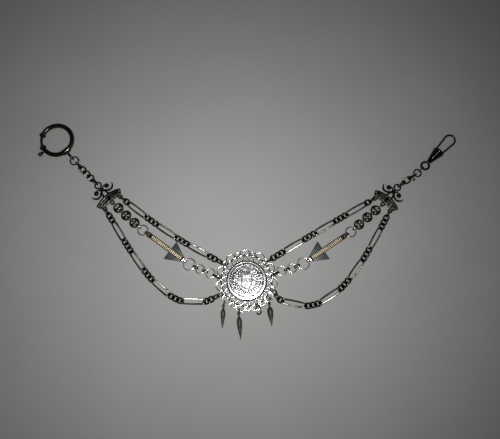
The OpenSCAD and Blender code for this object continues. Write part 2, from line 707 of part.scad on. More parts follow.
// Medallion frame: bezel, zigzag wire, rope ring and scallops
module loops(reach, loop_r, angles) {
    for (a = angles) translate(polar(reach - loop_r, a)) difference() {
        circle(loop_r + frame_wire / 2);
        circle(loop_r - frame_wire / 2);
    }
}
zigzags = 2 * scallops;
zigzag_w = 0.55;
module zigzag() {
    for (k = [0:zigzags - 1], side = [0, 1]) {
        a = scallop_start + k * 360 / zigzags;
        from = polar(bezel_r - 0.1, a);
        to = polar(rope_r, a + (side - 0.5) * 360 / zigzags);
        translate(from) rotate(heading(from, to)) translate([0, -zigzag_w / 2])
            square([norm(to - from), zigzag_w]);
    }
}
module medal_frame() {
    color("gainsboro") placed() {
        translate([0, 0, flat_z - frame_h / 2]) linear_extrude(frame_h) {
            difference() {
                union() {
                    loops(large_reach, large_loop_r, [for (k = [0:scallops - 1]) large_at(k)]);
                    loops(small_reach, small_loop_r, [for (k = [0:scallops - 1]) small_at(k)]);
                }
                circle(rope_r);
            }
            difference() {
                circle(rope_r + rope_wire / 2);
                circle(rope_r - rope_wire / 2);
            }
            zigzag();
        }
        rotate_extrude() polygon([[bezel_r, 0], [bezel_r, bezel_h], [coin_d / 2 - 0.4, bezel_h],
            [coin_d / 2 + 0.1, bezel_h - 0.25], [coin_d / 2 + 0.1, 0.35], [coin_d / 2 - 0.5, 0.35],
            [coin_d / 2 - 0.5, 0]]);
    }
}
coin_z = 0.4;
coin_rim_w = 0.9;
coin_rim_h = 0.15;
module medal_coin() {
    color("gainsboro") placed() translate([0, 0, coin_z]) difference() {
        cylinder(d = coin_d, h = coin_h);
        translate([0, 0, coin_h - coin_rim_h]) cylinder(d = coin_d - 2 * coin_rim_w, h = 1);
    }
}

// Rings that tie strands and drops to the scallops
module drop_link(row) {
    translate(row[DROP_AT]) rotate([0, -row[DROP_TILT], row[DROP_YAW]]) rotate([row[DROP_LEAN], 0, 0])
        oval_ring(row[DROP_U], row[DROP_V], drop_wire);
}
module medal_rings() {
    color("dimgray") placed() {
        for (tie = [left_top_tie, left_low_tie, right_low_tie])
            wire_ring(tie[TIE_AT], tie[TIE_R], tie_wire, tie[TIE_AT].z, tie[TIE_YAW], tie[TIE_LEAN]);
        for (row = [drop_left_row, drop_middle_row, drop_right_row]) drop_link(row);
    }
}
module empty_ring() {
    color("dimgray") placed() translate(empty_ring_at) rotate([0, 0, empty_ring_yaw])
        rotate([empty_ring_lean, 0, 0]) oval_ring(empty_ring_u, empty_ring_v, empty_ring_wire);
}

// Drops: eye, neck, and a slender body that widens early and tapers to a point
module drop(row) {
    from = row[DROP_AT] + row[DROP_U] * [cos(row[DROP_YAW]), sin(row[DROP_YAW]), sin(row[DROP_TILT])];
    l = norm(row[DROP_TIP] - [from.x, from.y]);
    d = row[DROP_D];
    widest = 0.36 * l;
    color("darkolivegreen") placed() translate(from)
        rotate([0, atan((from.z - d / 2 - 0.04) / widest), heading(from, row[DROP_TIP])]) {
            rotate([row[DROP_LEAN], 0, 0]) rotate([90, 0, 0]) rotate_extrude()
                translate([drop_eye_r, 0]) circle(d = drop_eye_wire);
            rotate([0, 90, 0]) rotate_extrude() polygon([[0, drop_eye_r], [0.4, drop_eye_r],
                [0.5, 1.8], [d * 0.38, 2.6], [d / 2, widest], [d * 0.3, l * 0.68], [0.12, l], [0, l]]);
        }
}
module drop_left() { drop(drop_left_row); }
module drop_middle() { drop(drop_middle_row); }
module drop_right() { drop(drop_right_row); }

bolt_ring_tube();
bolt_ring_bolt();
snap_ring();
for (i = [1:5]) left_link(i);
left_crown();
right_crown();
clip_eye();
clip_barrel();
clip_gate();
clip_ring();
clip_link();
for (i = [1:3]) right_link(i);
spare_ring();
for (k = [0:2]) {
    disc(left_discs[k], heading(left_discs[k], concat(left_discs, [left_rings[0]])[k + 1]));
    disc(right_discs[k], heading(right_discs[k], concat(right_discs, [right_rings[0]])[k + 1]));
}
for (k = [0:3]) {
    plain_ring(left_rings, k);
    plain_ring(right_rings, k);
}
left_bar();
right_bar();
joiner_links();
left_short_links();
right_short_links();
for (s = [0:3], i = [1:long_counts[s]])
    long_link([left_top, left_low, right_top, right_low][s], i);
medal_frame();
medal_coin();
medal_rings();
empty_ring();
drop_left();
drop_middle();
drop_right();
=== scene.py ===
import json
from math import acos, asin, atan2, cos, degrees, hypot, pi, radians, sin, sqrt

import bmesh
import bpy
import numpy as np
from mathutils import Matrix, Vector


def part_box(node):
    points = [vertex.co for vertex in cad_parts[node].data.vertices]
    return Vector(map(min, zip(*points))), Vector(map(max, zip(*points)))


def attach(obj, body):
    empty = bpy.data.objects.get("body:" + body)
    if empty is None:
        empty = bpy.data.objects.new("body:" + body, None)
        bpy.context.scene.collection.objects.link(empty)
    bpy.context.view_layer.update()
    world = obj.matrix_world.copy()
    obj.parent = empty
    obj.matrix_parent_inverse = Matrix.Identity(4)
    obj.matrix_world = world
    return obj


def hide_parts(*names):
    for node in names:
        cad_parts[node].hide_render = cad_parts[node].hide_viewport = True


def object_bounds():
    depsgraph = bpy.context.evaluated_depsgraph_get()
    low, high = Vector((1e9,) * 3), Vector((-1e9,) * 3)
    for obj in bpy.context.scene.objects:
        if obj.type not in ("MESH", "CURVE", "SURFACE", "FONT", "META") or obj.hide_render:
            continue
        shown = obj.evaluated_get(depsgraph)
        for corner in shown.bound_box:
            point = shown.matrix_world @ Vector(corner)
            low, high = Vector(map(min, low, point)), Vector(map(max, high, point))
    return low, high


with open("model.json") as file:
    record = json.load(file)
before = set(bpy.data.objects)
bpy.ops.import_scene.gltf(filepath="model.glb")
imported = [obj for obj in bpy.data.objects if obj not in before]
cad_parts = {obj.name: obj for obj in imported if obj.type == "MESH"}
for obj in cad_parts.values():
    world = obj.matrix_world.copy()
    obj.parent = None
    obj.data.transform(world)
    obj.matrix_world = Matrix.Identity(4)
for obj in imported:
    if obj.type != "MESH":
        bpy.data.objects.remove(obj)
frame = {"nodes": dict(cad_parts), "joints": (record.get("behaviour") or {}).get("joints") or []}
cad_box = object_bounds()

# Floor, lamps and camera. The floor is a sheet of pale matt card. A small soft box sits beside the
# lens and lights the middle most, a larger and weaker one fills from the front, and the camera
# looks down at the chain from a little in front of it.
MM = 0.001
CARD_SIZE = 3
CARD_GAP = 0.02 * MM
CARD_CLOUDS = 60 * MM
CARD_GRAIN = 0.5 * MM
VIEW_AIM = Vector((2.46, 5.5, 0)) * MM
VIEW_DISTANCE = 343 * MM
VIEW_TILT = radians(12)
VIEW_LENS = 38
ROOM_GLOW = 0.065


def linear(code):
    """An sRGB hex colour as linear red, green, blue and alpha."""
    parts = [int(code[i:i + 2], 16) / 255 for i in (0, 2, 4)]
    return [c / 12.92 if c <= 0.04045 else ((c + 0.055) / 1.055) ** 2.4 for c in parts] + [1]


def add(tree, kind, values, links=()):
    """Adds a shader node, sets its sockets or settings by name or number, and links others to it."""
    node = tree.nodes.new("ShaderNode" + kind)
    for key, value in values.items():
        if isinstance(key, str) and hasattr(node, key):
            setattr(node, key, value)
        else:
            node.inputs[key].default_value = value
    for key, socket in dict(links).items():
        tree.links.new(socket, node.inputs[key])
    return node


def new_material(name):
    """A material with an empty node tree, and that tree."""
    material = bpy.data.materials.new(name)
    material.use_nodes = True
    material.node_tree.nodes.clear()
    return material, material.node_tree


# Matt card spreads the light evenly. It has faint clouding and a paper grain of half a millimetre.
card, tree = new_material("Matt card, pale grey")
place = add(tree, "TexCoord", {})
cloud = add(tree, "TexNoise", {"Scale": 1 / CARD_CLOUDS, "Detail": 3},
            {"Vector": place.outputs["Object"]})
grain = add(tree, "TexNoise", {"Scale": 1 / CARD_GRAIN, "Detail": 2},
            {"Vector": place.outputs["Object"]})
shade = add(tree, "Mix", {"data_type": "RGBA", 6: linear("BFC1C4"), 7: linear("CBCCCD")},
            {0: cloud.outputs["Fac"]})
bump = add(tree, "Bump", {"Strength": 0.25, "Distance": 0.00005}, {"Height": grain.outputs["Fac"]})
shader = add(tree, "BsdfPrincipled", {"Roughness": 0.85, "Specular IOR Level": 0.2},
             {"Base Color": shade.outputs[2], "Normal": bump.outputs["Normal"]})
add(tree, "OutputMaterial", {}, {"Surface": shader.outputs["BSDF"]})

bm = bmesh.new()
bmesh.ops.create_grid(bm, x_segments=1, y_segments=1, size=CARD_SIZE / 2)
bmesh.ops.translate(bm, verts=bm.verts, vec=(0, 0, cad_box[0].z - CARD_GAP))
mesh = bpy.data.meshes.new("card")
bm.to_mesh(mesh)
bm.free()
mesh.materials.append(card)
floor = bpy.data.objects.new("card", mesh)
bpy.context.scene.collection.objects.link(floor)


def lamp(name, place, aim, size, watts, colour, spread=180):
    """A square soft box that points at a spot and whose light spreads by an angle."""
    data = bpy.data.lights.new(name, "AREA")
    data.size = size
    data.energy = watts
    data.color = linear(colour)[:3]
    data.spread = radians(spread)
    box = bpy.data.objects.new(name, data)
    box.location = place
    box.rotation_euler = (Vector(aim) - Vector(place)).to_track_quat("-Z", "Y").to_euler()
    bpy.context.scene.collection.objects.link(box)


lamp("lamp_by_lens", (0.009, -0.058, 0.335), aim=(-0.022, 0.004, 0), size=0.05, watts=0.168,
     colour="FFFDF8", spread=92)
lamp("fill_in_front", (-0.5, -0.9, 1.1), aim=(0, 0, 0), size=0.9, watts=0.08, colour="F4F7FF")
room = bpy.data.worlds.new("dim room")
room.use_nodes = True
room.node_tree.nodes["Background"].inputs["Color"].default_value = linear("B8BCC2")
room.node_tree.nodes["Background"].inputs["Strength"].default_value = ROOM_GLOW
bpy.context.scene.world = room
bpy.context.scene.view_settings.view_transform = "Standard"

view = bpy.data.objects.new("view", bpy.data.cameras.new("view"))
view.data.lens = VIEW_LENS
view.data.clip_start = 10 * MM
view.location = VIEW_AIM + VIEW_DISTANCE * Vector((0, -sin(VIEW_TILT), cos(VIEW_TILT)))
view.rotation_euler = (VIEW_TILT, 0, 0)
bpy.context.scene.collection.objects.link(view)
bpy.context.scene.camera = view

# Bolt ring: a drawn brass tube bent nearly round, with turned collars at both mouths, a sleeve
# with two beads, and a tapered neck that ends in an eye. Dark nickel plate, polished. The steel
# bolt slides inside and has a ball knob that runs in a slot.
UP = Vector((0, 0, 1))
# Sizes are in millimetres, and places round the ring are turns in degrees
RING_R = 10.2
TUBE_R = 1.5
BORE_R = 1.05
MOUTHS = (208.7, 523.5)
COLLAR_R = 1.95
COLLAR_SWELL = 0.35
COLLAR_TURN = 6
COLLAR_ARCH = 5.9
COLLAR_STEPS = (0.3, 0.8, 5.2, 5.9, 6.1)
SLEEVE_AT = 311.5
SLEEVE_R = 1.85
SLEEVE_BEAD = 0.22
SLEEVE_BEAD_TURNS = (11, 13.4)
SLEEVE_TURN = 14
SLEEVE_STEPS = (10.9, 11.1, 12.2, 13.3, 13.5, 13.9, 14.1)
SLOT_TURN = (221.4, 277.8)
SLOT_HALF = 0.65
SLOT_MID = RING_R + 2.1
SLOT_REACH = 1.3
KNOB_TURN = 224.6
KNOB_R = 1.45
KNOB_OUT = 14.3
KNOB_SEAM = 0.93
BOLT_R = 0.85
BOLT_ENDS = (161, 232)
NECK_FOOT = 11.3
NECK = [(0, 0), (0, 1.3), (0.4, 1.36), (1.0, 1.05), (1.5, 0.86), (2.6, 0.74), (3.0, 0.95), (3.4, 0.95),
        (3.7, 0.7), (4.0, 0)]
NECK_EYE_AT = 16.4
NECK_EYE_R = 1.35
NECK_EYE_WIRE = 1.1


def polar(radius, turn, z=0.0):
    """A point at a distance and a compass angle in degrees."""
    return Vector((radius * cos(radians(turn)), radius * sin(radians(turn)), z))


def even(start, end, count):
    """Numbers from start to end in a count of equal steps."""
    return [start + (end - start) * i / count for i in range(count + 1)]


def skin(path, radii, closed=False, sides=12, dull=None, ups=None, tall=1.0, square=2.0):
    """Wire along a path of points. dull says how far each point is darkened. ups are the ways
    that its section points up, in which it is tall times as thick, and square above 2 gives it
    flat sides."""
    part = bmesh.new()
    dulled = part.verts.layers.float.new("dull")
    radii = radii if hasattr(radii, "__len__") else [radii] * len(path)
    dull = dull or [0] * len(path)
    ups = list(ups) if ups else [None] * len(path)
    if not closed:
        # A rounded end is the last section drawn on three times more, ever smaller
        caps = [(radii[0] * sin(t) * 0.7, cos(t)) for t in (1.4, 1.1, 0.6)]
        back = (path[0] - path[1]).normalized()
        ahead = (path[-1] - path[-2]).normalized()
        far = radii[-1] / radii[0]
        path = ([path[0] + back * c[0] for c in caps] + list(path)
                + [path[-1] + ahead * c[0] * far for c in reversed(caps)])
        radii = ([radii[0] * c[1] for c in caps] + list(radii)
                 + [radii[-1] * c[1] for c in reversed(caps)])
        dull = [dull[0]] * 3 + list(dull) + [dull[-1]] * 3
        ups = [ups[0]] * 3 + ups + [ups[-1]] * 3
    count = len(path)
    loops = []
    side = None
    for i, point in enumerate(path):
        before = path[i - 1] if closed or i else path[0]
        after = path[(i + 1) % count] if closed or i < count - 1 else path[-1]
        ahead = (after - before).normalized()
        if ups[i] is not None:
            side = ups[i].cross(ahead)
        else:
            side = ahead.orthogonal() if side is None else side - ahead * side.dot(ahead)
        side.normalize()
        up = ahead.cross(side)
        made = bmesh.ops.create_circle(part, segments=sides, radius=1)["verts"]
        for vert in made:
            c, s = vert.co.x, vert.co.y
            k = radii[i] * (abs(c) ** square + abs(s) ** square) ** (-1 / square)
            vert.co = point + side * c * k + up * s * k * tall
            vert[dulled] = dull[i]
        # A dict keeps the order, so that every run makes the same mesh
        loops.append(list(dict.fromkeys(edge for vert in made for edge in vert.link_edges)))
    for first, second in zip(loops, loops[1:] + loops[:1] if closed else loops[1:]):
        bmesh.ops.bridge_loops(part, edges=first + second)
    if not closed:
        bmesh.ops.holes_fill(part, edges=loops[0] + loops[-1])
    return part


def lathe(outline, steps=40):
    """Turns (along, radius) points about their own x axis."""
    part = bmesh.new()
    part.verts.layers.float.new("dull")
    row = [part.verts.new((x, r, 0)) for x, r in outline]
    edges = [part.edges.new(pair) for pair in zip(row, row[1:])]
    bmesh.ops.spin(part, geom=row + edges, cent=(0, 0, 0), axis=(1, 0, 0), dvec=(0, 0, 0),
                   angle=2 * pi, steps=steps, use_merge=True)
    bmesh.ops.remove_doubles(part, verts=part.verts, dist=1e-4)
    return part


def join(bm, part, place=Matrix.Identity(4), finish=0):
    """Adds a part to a piece, in its place and with the number of its finish."""
    part.transform(place)
    for face in part.faces:
        face.material_index = finish
    # A move leaves the old normals, by which the next line would turn some parts inside out
    part.normal_update()
    bmesh.ops.recalc_face_normals(part, faces=part.faces)
    mesh = bpy.data.meshes.new("part")
    part.to_mesh(mesh)
    part.free()
    bm.from_mesh(mesh)
    bpy.data.meshes.remove(mesh)


def new_piece():
    """An empty piece to join parts to."""
    bm = bmesh.new()
    bm.verts.layers.float.new("dull")
    return bm


def finished(bm, name, *finishes, sharp=38):
    """Makes a piece drawn in millimetres an object in metres, smooth but for its edges."""
    bm.transform(Matrix.Scale(MM, 4))
    mesh = bpy.data.meshes.new(name)
    bm.to_mesh(mesh)
    bm.free()
    mesh.polygons.foreach_set("use_smooth", [True] * len(mesh.polygons))
    mesh.set_sharp_from_angle(angle=radians(sharp))
    for material in finishes:
        mesh.materials.append(material)
    piece = bpy.data.objects.new(name, mesh)
    bpy.context.scene.collection.objects.link(piece)
    return piece


def carve(part, cutter):
    """Cuts one closed part out of another."""
    held = []
    for shape in (part, cutter):
        bmesh.ops.recalc_face_normals(shape, faces=shape.faces)
        mesh = bpy.data.meshes.new("carved")
        shape.to_mesh(mesh)
        shape.free()
        held.append(bpy.data.objects.new("carved", mesh))
        bpy.context.scene.collection.objects.link(held[-1])
    cut = held[0].modifiers.new("cut", "BOOLEAN")
    cut.operation = "DIFFERENCE"
    cut.solver = "EXACT"
    cut.object = held[1]
    seen = held[0].evaluated_get(bpy.context.evaluated_depsgraph_get())
    result = bpy.data.meshes.new_from_object(seen)
    left = bmesh.new()
    left.from_mesh(result)
    # The cut leaves a few points twice, with faces of no size between them
    bmesh.ops.remove_doubles(left, verts=left.verts, dist=1e-4)
    for shape in held:
        bpy.data.objects.remove(shape)
    bpy.data.meshes.remove(result)
    return left


MARKS = 0.25
MARK_DEPTH = 0.02


def metal(name, clean, tarnish, rough, patch, worn=(0.35, 0.65), scratch=0.15, edges=0.0):
    """A metal whose clean colour shows where it is rubbed and whose tarnish stays in patches.
    patch is the patches' size in millimetres, worn the range of noise over which one turns into
    the other, and edges how far raised edges are rubbed clean."""
    material, tree = new_material(name)
    place = add(tree, "TexCoord", {})
    cloud = add(tree, "TexNoise", {"Scale": 1 / (patch * MM), "Detail": 4, "Roughness": 0.6},
                {"Vector": place.outputs["Object"]})
    # The dull attribute darkens the colour: toning on the coin's field, and painted shade on link ends,
    # bar grooves and disc rims
    dirt_and_shade = add(tree, "Attribute", {"attribute_name": "dull"})
    shown = add(tree, "MapRange", {"From Min": worn[0], "From Max": worn[1]},
                {"Value": cloud.outputs["Fac"]})
    shown = add(tree, "Math", {"operation": "SUBTRACT", "use_clamp": True},
                {0: shown.outputs[0], 1: dirt_and_shade.outputs["Fac"]})
    if edges:
        ridge = add(tree, "NewGeometry", {})
        ridge = add(tree, "MapRange", {"From Min": 0.5, "From Max": 0.58, "To Max": edges},
                    {"Value": ridge.outputs["Pointiness"]})
        shown = add(tree, "Math", {"operation": "ADD", "use_clamp": True},
                    {0: shown.outputs[0], 1: ridge.outputs[0]})
    colour = add(tree, "Mix", {"data_type": "RGBA", 6: linear(tarnish), 7: linear(clean)},
                 {0: shown.outputs[0]})
    # Handling marks, drawn a quarter of a millimetre apart because real ones are too fine to show
    marks = add(tree, "TexNoise", {"Scale": 1 / (MARKS * MM), "Detail": 3, "Distortion": 0.6},
                {"Vector": place.outputs["Object"]})
    gloss = add(tree, "MapRange", {"From Min": 0.3, "From Max": 0.7, "To Min": rough * 0.75,
                                   "To Max": rough * 1.35}, {"Value": marks.outputs["Fac"]})
    bump = add(tree, "Bump", {"Strength": scratch, "Distance": MARK_DEPTH * MM},
               {"Height": marks.outputs["Fac"]})
    shader = add(tree, "BsdfPrincipled", {"Metallic": 1},
                 {"Base Color": colour.outputs[2], "Roughness": gloss.outputs[0],
                  "Normal": bump.outputs["Normal"]})
    add(tree, "OutputMaterial", {}, {"Surface": shader.outputs["BSDF"]})
    return material


# Dark nickel plate over brass, buffed. It mirrors a dark room with a warm tinge where the plate
# is thin.
dark_nickel = metal("Nickel plate, dark and buffed", "6F6A63", "4E463B", 0.16, 6, scratch=0.06)
# Ground steel rod is grey, with a soft streak of light along it
bolt_steel = metal("Steel rod, ground", "7C7C7A", "55534F", 0.2, 3)

joints = {joint["name"]: joint for joint in frame["joints"]}
ring_mid = Vector(joints["bolt_draw"]["pos_m"]) / MM
bolt_ring_place = Matrix.Translation(ring_mid)


def tube_radius(turn):
    """Outer radius of the bolt ring's tube: collars at the mouths, beads on the sleeve."""
    from_mouth = min(turn - MOUTHS[0], MOUTHS[1] - turn)
    if from_mouth < COLLAR_TURN:
        return COLLAR_R + COLLAR_SWELL * sin(pi * min(1, from_mouth / COLLAR_ARCH)) ** 0.5
    from_sleeve = abs((turn - SLEEVE_AT + 180) % 360 - 180)
    if from_sleeve < SLEEVE_TURN:
        beaded = SLEEVE_BEAD_TURNS[0] < from_sleeve < SLEEVE_BEAD_TURNS[1]
        return SLEEVE_R + (SLEEVE_BEAD if beaded else 0)
    return TUBE_R


turns = even(MOUTHS[0], MOUTHS[1], 84)
turns += [MOUTHS[0] + t for t in COLLAR_STEPS] + [MOUTHS[1] - t for t in COLLAR_STEPS]
turns += [SLEEVE_AT + s * t for s in (-1, 1) for t in SLEEVE_STEPS]
turns = sorted(set(turns))
case = skin([polar(RING_R, t) for t in turns], [tube_radius(t) for t in turns], sides=20)
bore_turns = even(MOUTHS[0] - 2, MOUTHS[1] + 2, 80)
case = carve(case, skin([polar(RING_R, t) for t in bore_turns], BORE_R, sides=16))
slot_line = [polar(SLOT_MID, t) for t in even(*SLOT_TURN, 24)]
slot_cut = skin(slot_line, SLOT_REACH, ups=[UP] * len(slot_line), tall=SLOT_HALF / SLOT_REACH, square=8)
case = carve(case, slot_cut)
bm = new_piece()
join(bm, case, bolt_ring_place)
out = Matrix.Rotation(radians(SLEEVE_AT), 4, "Z")
join(bm, lathe(NECK), bolt_ring_place @ out @ Matrix.Translation((NECK_FOOT, 0, 0)))
eye = [Vector((NECK_EYE_AT + NECK_EYE_R * cos(a), 0, NECK_EYE_R * sin(a)))
       for a in even(0, 2 * pi, 28)[:-1]]
join(bm, skin(eye, NECK_EYE_WIRE / 2, closed=True), bolt_ring_place @ out)
piece = finished(bm, "bolt_ring_case", dark_nickel)
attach(piece, "chain")
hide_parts("bolt_ring_tube")

bm = new_piece()
join(bm, skin([polar(RING_R, t) for t in even(*BOLT_ENDS, 22)], BOLT_R), bolt_ring_place)
knob = Matrix.Rotation(radians(KNOB_TURN), 4, "Z")
# The knob's stem widens into a neck, and a seam runs round the ball
join(bm, lathe([(RING_R, 0), (RING_R, 0.5), (KNOB_OUT - 2.5, 0.5), (KNOB_OUT - 2.4, 0.64),
                (KNOB_OUT - 1.15, 1.15), (KNOB_OUT, 0.5), (KNOB_OUT, 0)], 24),
     bolt_ring_place @ knob)
join(bm, lathe([(KNOB_R * cos(a), KNOB_R * sin(a) * (KNOB_SEAM if abs(a - pi / 2) < 0.12 else 1))
                for a in even(pi, 0, 26)]),
     bolt_ring_place @ knob @ Matrix.Translation((KNOB_OUT, 0, 0)))
piece = finished(bm, "bolt_and_knob", bolt_steel)
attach(piece, "bolt")
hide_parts("bolt_ring_bolt")

# Jump rings and plain links: round nickel silver wire, bent and butted shut, and tarnished. Each is
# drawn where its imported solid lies, with that solid's own sizes.
JUMP_RINGS = ("snap_ring", "clip_ring", "clip_link", "spare_ring", "empty_ring")


def solids_of(node):
    """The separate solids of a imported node, each as an array of its corners in millimetres."""
    shape = bmesh.new()
    shape.from_mesh(frame["nodes"][node].data)
    bmesh.ops.remove_doubles(shape, verts=shape.verts, dist=1e-6)
    found = []
    seen = set()
    for first in shape.verts:
        if first in seen:
            continue
        seen.add(first)
        near = [first]
        group = []
        while near:
            vert = near.pop()
            group.append(vert.co / MM)
            for edge in vert.link_edges:
                other = edge.other_vert(vert)
                if other not in seen:
                    seen.add(other)
                    near.append(other)
        found.append(np.array(group))
    shape.free()
    return sorted(found, key=lambda points: tuple(points.mean(0).round(3)))


def laid(points):
    """How a ring or link lies: its place with x along it, y across and z through, and half sizes."""
    middle = points.mean(0)
    axes = np.linalg.svd(points - middle, full_matrices=False)[2]
    axes[2] = np.cross(axes[0], axes[1])
    own = (points - middle) @ axes.T
    half = (own.max(0) - own.min(0)) / 2
    middle = middle + (own.max(0) + own.min(0)) / 2 @ axes
    return Matrix.Translation(Vector(middle)) @ Matrix(axes.tolist()).transposed().to_4x4(), half


def link_line(u, v, twist=0.0, arc=12, straight=8):
    """The closed line of a link that is half u long and half v wide. Each end is twisted by an
    angle in degrees, and the twist runs evenly from end to end."""
    flat = [(u - v + v * sin(a), v * cos(a)) for a in even(0, pi, arc)]
    if u - v > 0.05:
        flat += [(x, -v) for x in even(u - v, v - u, straight)[1:-1]]
    else:
        # Round: the halves share their end points, which aren't made twice
        flat.pop()
    flat += [(-x, -y) for x, y in flat]
    lean = radians(twist) / u
    return [Vector((x, y * cos(lean * x), y * sin(lean * x))) for x, y in flat]


def add_ring(bm, points, sides=12):
    """A plain ring of round wire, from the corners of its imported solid."""
    place, half = laid(points)
    wire = half[2]
    line = [place @ p for p in link_line(half[0] - wire, half[1] - wire, arc=14)]
    join(bm, skin(line, wire, closed=True, sides=sides))


# Nickel silver wire gone grey brown, with rubbed spots
tarnished = metal("Nickel silver wire, tarnished", "B2ADA2", "2B261E", 0.18, 1.4, worn=(0.44, 0.62))
for node in JUMP_RINGS:
    bm = new_piece()
    add_ring(bm, solids_of(node)[0])
    piece = finished(bm, node + "_wire", tarnished)
    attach(piece, "chain")
    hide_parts(node)

# Short chains: curb links of the same wire, hooked through one another and twisted until they lie
# flat, five at the left end and three at the right.
CURB_HALF = 1.75
CURB_WIRE = 1.0
CURB_TWIST = 42
NARROW_HALF = 1.25              # the link next to a crown or a ring is narrower
NARROW_TWIST = 24
LONG_HALF = 4                   # a link with a greater half length is a long one, and never narrow
FACETED = 0.951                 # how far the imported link's straight pieces reach round its ends
PRESSED_WIDE = 1.12             # the wire's width after its faces are pressed flat
PRESSED_TALL = 0.93             # its height over its width then
# How dark the painted shade is at a link's ends, where its neighbours hook through
ENDS_SHADE = 0.7


def shaded_link_ends(line, u, v):
    """Painted shade: a link is darker at its ends, where its neighbours hook through it, and not on its
    sides.
    """
    return [ENDS_SHADE * min(1, max(0, (abs(p.x) - u + v) / v)) for p in line]


def add_twisted(bm, points, wide, wire, narrow_wire, twist):
    """A twisted link. The narrow ones are twisted less and the other way, or lie flat."""
    place, half = laid(points)
    slim = half[1] < (wide + NARROW_HALF + (wire + narrow_wire) / 2) / 2 and half[0] < LONG_HALF
    v = NARROW_HALF if slim else wide
    thick = narrow_wire if slim else wire
    u = half[0] - FACETED * thick / 2 + (1 - FACETED) * v
    if slim:
        flat = half[2] < thick * 0.6
        twist = 0 if flat else -NARROW_TWIST * twist / abs(twist)
    line = link_line(u, v, twist)
    ups = []
    for point in line:
        lean = radians(twist) * point.x / u
        ups.append((place.to_3x3() @ Vector((0, -sin(lean), cos(lean)))).normalized())
    join(bm, skin([place @ p for p in line], thick * PRESSED_WIDE / 2, closed=True,
                  dull=shaded_link_ends(line, u, v), ups=ups, tall=PRESSED_TALL, square=2.4))


for node in [f"left_link_{i}" for i in range(1, 6)] + [f"right_link_{i}" for i in range(1, 4)]:
    bm = new_piece()
    add_twisted(bm, solids_of(node)[0], CURB_HALF, CURB_WIRE, CURB_WIRE, CURB_TWIST)
    piece = finished(bm, node + "_wire", tarnished)
    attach(piece, "chain")
    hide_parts(node)

# Figaro strands: three short curb links to one long one, twisted the other way. The long links are
# rubbed paler, and like all links they are painted darker at their ends as shade, so their sides look
# brighter.
FIGARO_HALF = 1.585
FIGARO_WIRE = 1.03
FIGARO_NARROW_WIRE = 0.86
SHORT_TWIST = -42
LONG_TWIST = -37
# Nickel silver wire that the cloth of a waistcoat has rubbed pale, with brown left in patches
rubbed = metal("Nickel silver wire, rubbed", "C2C0B8", "3E3A31", 0.2, 3.5, worn=(0.32, 0.55))
for node in ("left_short_links", "right_short_links"):
    bm = new_piece()
    for points in solids_of(node):
        add_twisted(bm, points, FIGARO_HALF, FIGARO_WIRE, FIGARO_NARROW_WIRE, SHORT_TWIST)
    piece = finished(bm, node + "_wire", tarnished)
    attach(piece, "chain")
    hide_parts(node)
for node in sorted(name for name in frame["nodes"] if "_long_" in name):
    bm = new_piece()
    add_twisted(bm, solids_of(node)[0], FIGARO_HALF, FIGARO_WIRE, FIGARO_WIRE, LONG_TWIST)
    piece = finished(bm, node + "_wire", rubbed)
    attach(piece, "chain")
    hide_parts(node)

# Plain rings: four on each side, a to d, outside and inside the bars. They are rings of bright
# nickel silver wire, bent and soldered shut, so no joint shows.
# Polished nickel silver is nearly white, and only a little of it has gone grey
bright = metal("Nickel silver wire, polished", "E4E3DE", "8F8C82", 0.2, 2.5, worn=(0.25, 0.45),
               scratch=0.05)
for node in [f"{side}_ring_{letter}" for side in ("left", "right") for letter in "abcd"]:
    bm = new_piece()
    add_ring(bm, solids_of(node)[0], sides=16)
    piece = finished(bm, node + "_wire", bright)
    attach(piece, "chain")
    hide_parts(node)


# Joiners: small upright links that join crowns, discs, rings and medallion. They are bent from
# nickel silver strap, and those between the plain rings are painted near black, as shade. A few are of
# round wire.
STRAP = 0.64
STRAP_SOFT = 0.12
# Painted shade: the same strap in a near black colour, with a dull sheen
near_black = metal("Nickel silver strap, painted near black as shade", "2E2B24", "15130F", 0.45, 1.2)


def plate(outline, low, high, soften, holes=()):
    """A flat plate with holes, from closed rows of (x, y) points, with softened edges."""
    part = bmesh.new()
    part.verts.layers.float.new("dull")
    edges = []
    for row in (outline, *holes):
        verts = [part.verts.new((x, y, low)) for x, y in row]
        edges += [part.edges.new(pair) for pair in zip(verts, verts[1:] + verts[:1])]
    bmesh.ops.triangle_fill(part, use_beauty=True, edges=edges)
    lifted = bmesh.ops.extrude_face_region(part, geom=part.faces[:])["geom"]
    bmesh.ops.translate(part, verts=[g for g in lifted if isinstance(g, bmesh.types.BMVert)],
                        vec=(0, 0, high - low))
    bmesh.ops.recalc_face_normals(part, faces=part.faces)
    rims = [e for e in part.edges if len(e.link_faces) == 2 and e.calc_face_angle() > 1]
    bmesh.ops.bevel(part, geom=rims, offset=soften, affect="EDGES", segments=2, profile=0.5,
                    material=-1)
    return part


inner = {side: (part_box(f"{side}_ring_a")[0].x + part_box(f"{side}_ring_a")[1].x) / 2 / MM
         for side in ("left", "right")}
bm = new_piece()
for points in solids_of("joiner_links"):
    place, half = laid(points)
    if half[2] < STRAP:
        add_ring(bm, points)
    else:
        loops = []
        for u, v in ((half[0], half[1]), (half[0] - STRAP, half[1] - STRAP)):
            loops.append([(p.x, p.y) for p in link_line(u, v, arc=14, straight=3)])
        # Those between the plain rings take the near black strap, as painted shade
        inside = inner["left"] < place.translation.x < inner["right"]
        join(bm, plate(loops[0], -half[2], half[2], STRAP_SOFT, loops[1:]), place, int(inside))
piece = finished(bm, "joiner_straps", tarnished, near_black)
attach(piece, "chain")
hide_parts("joiner_links")

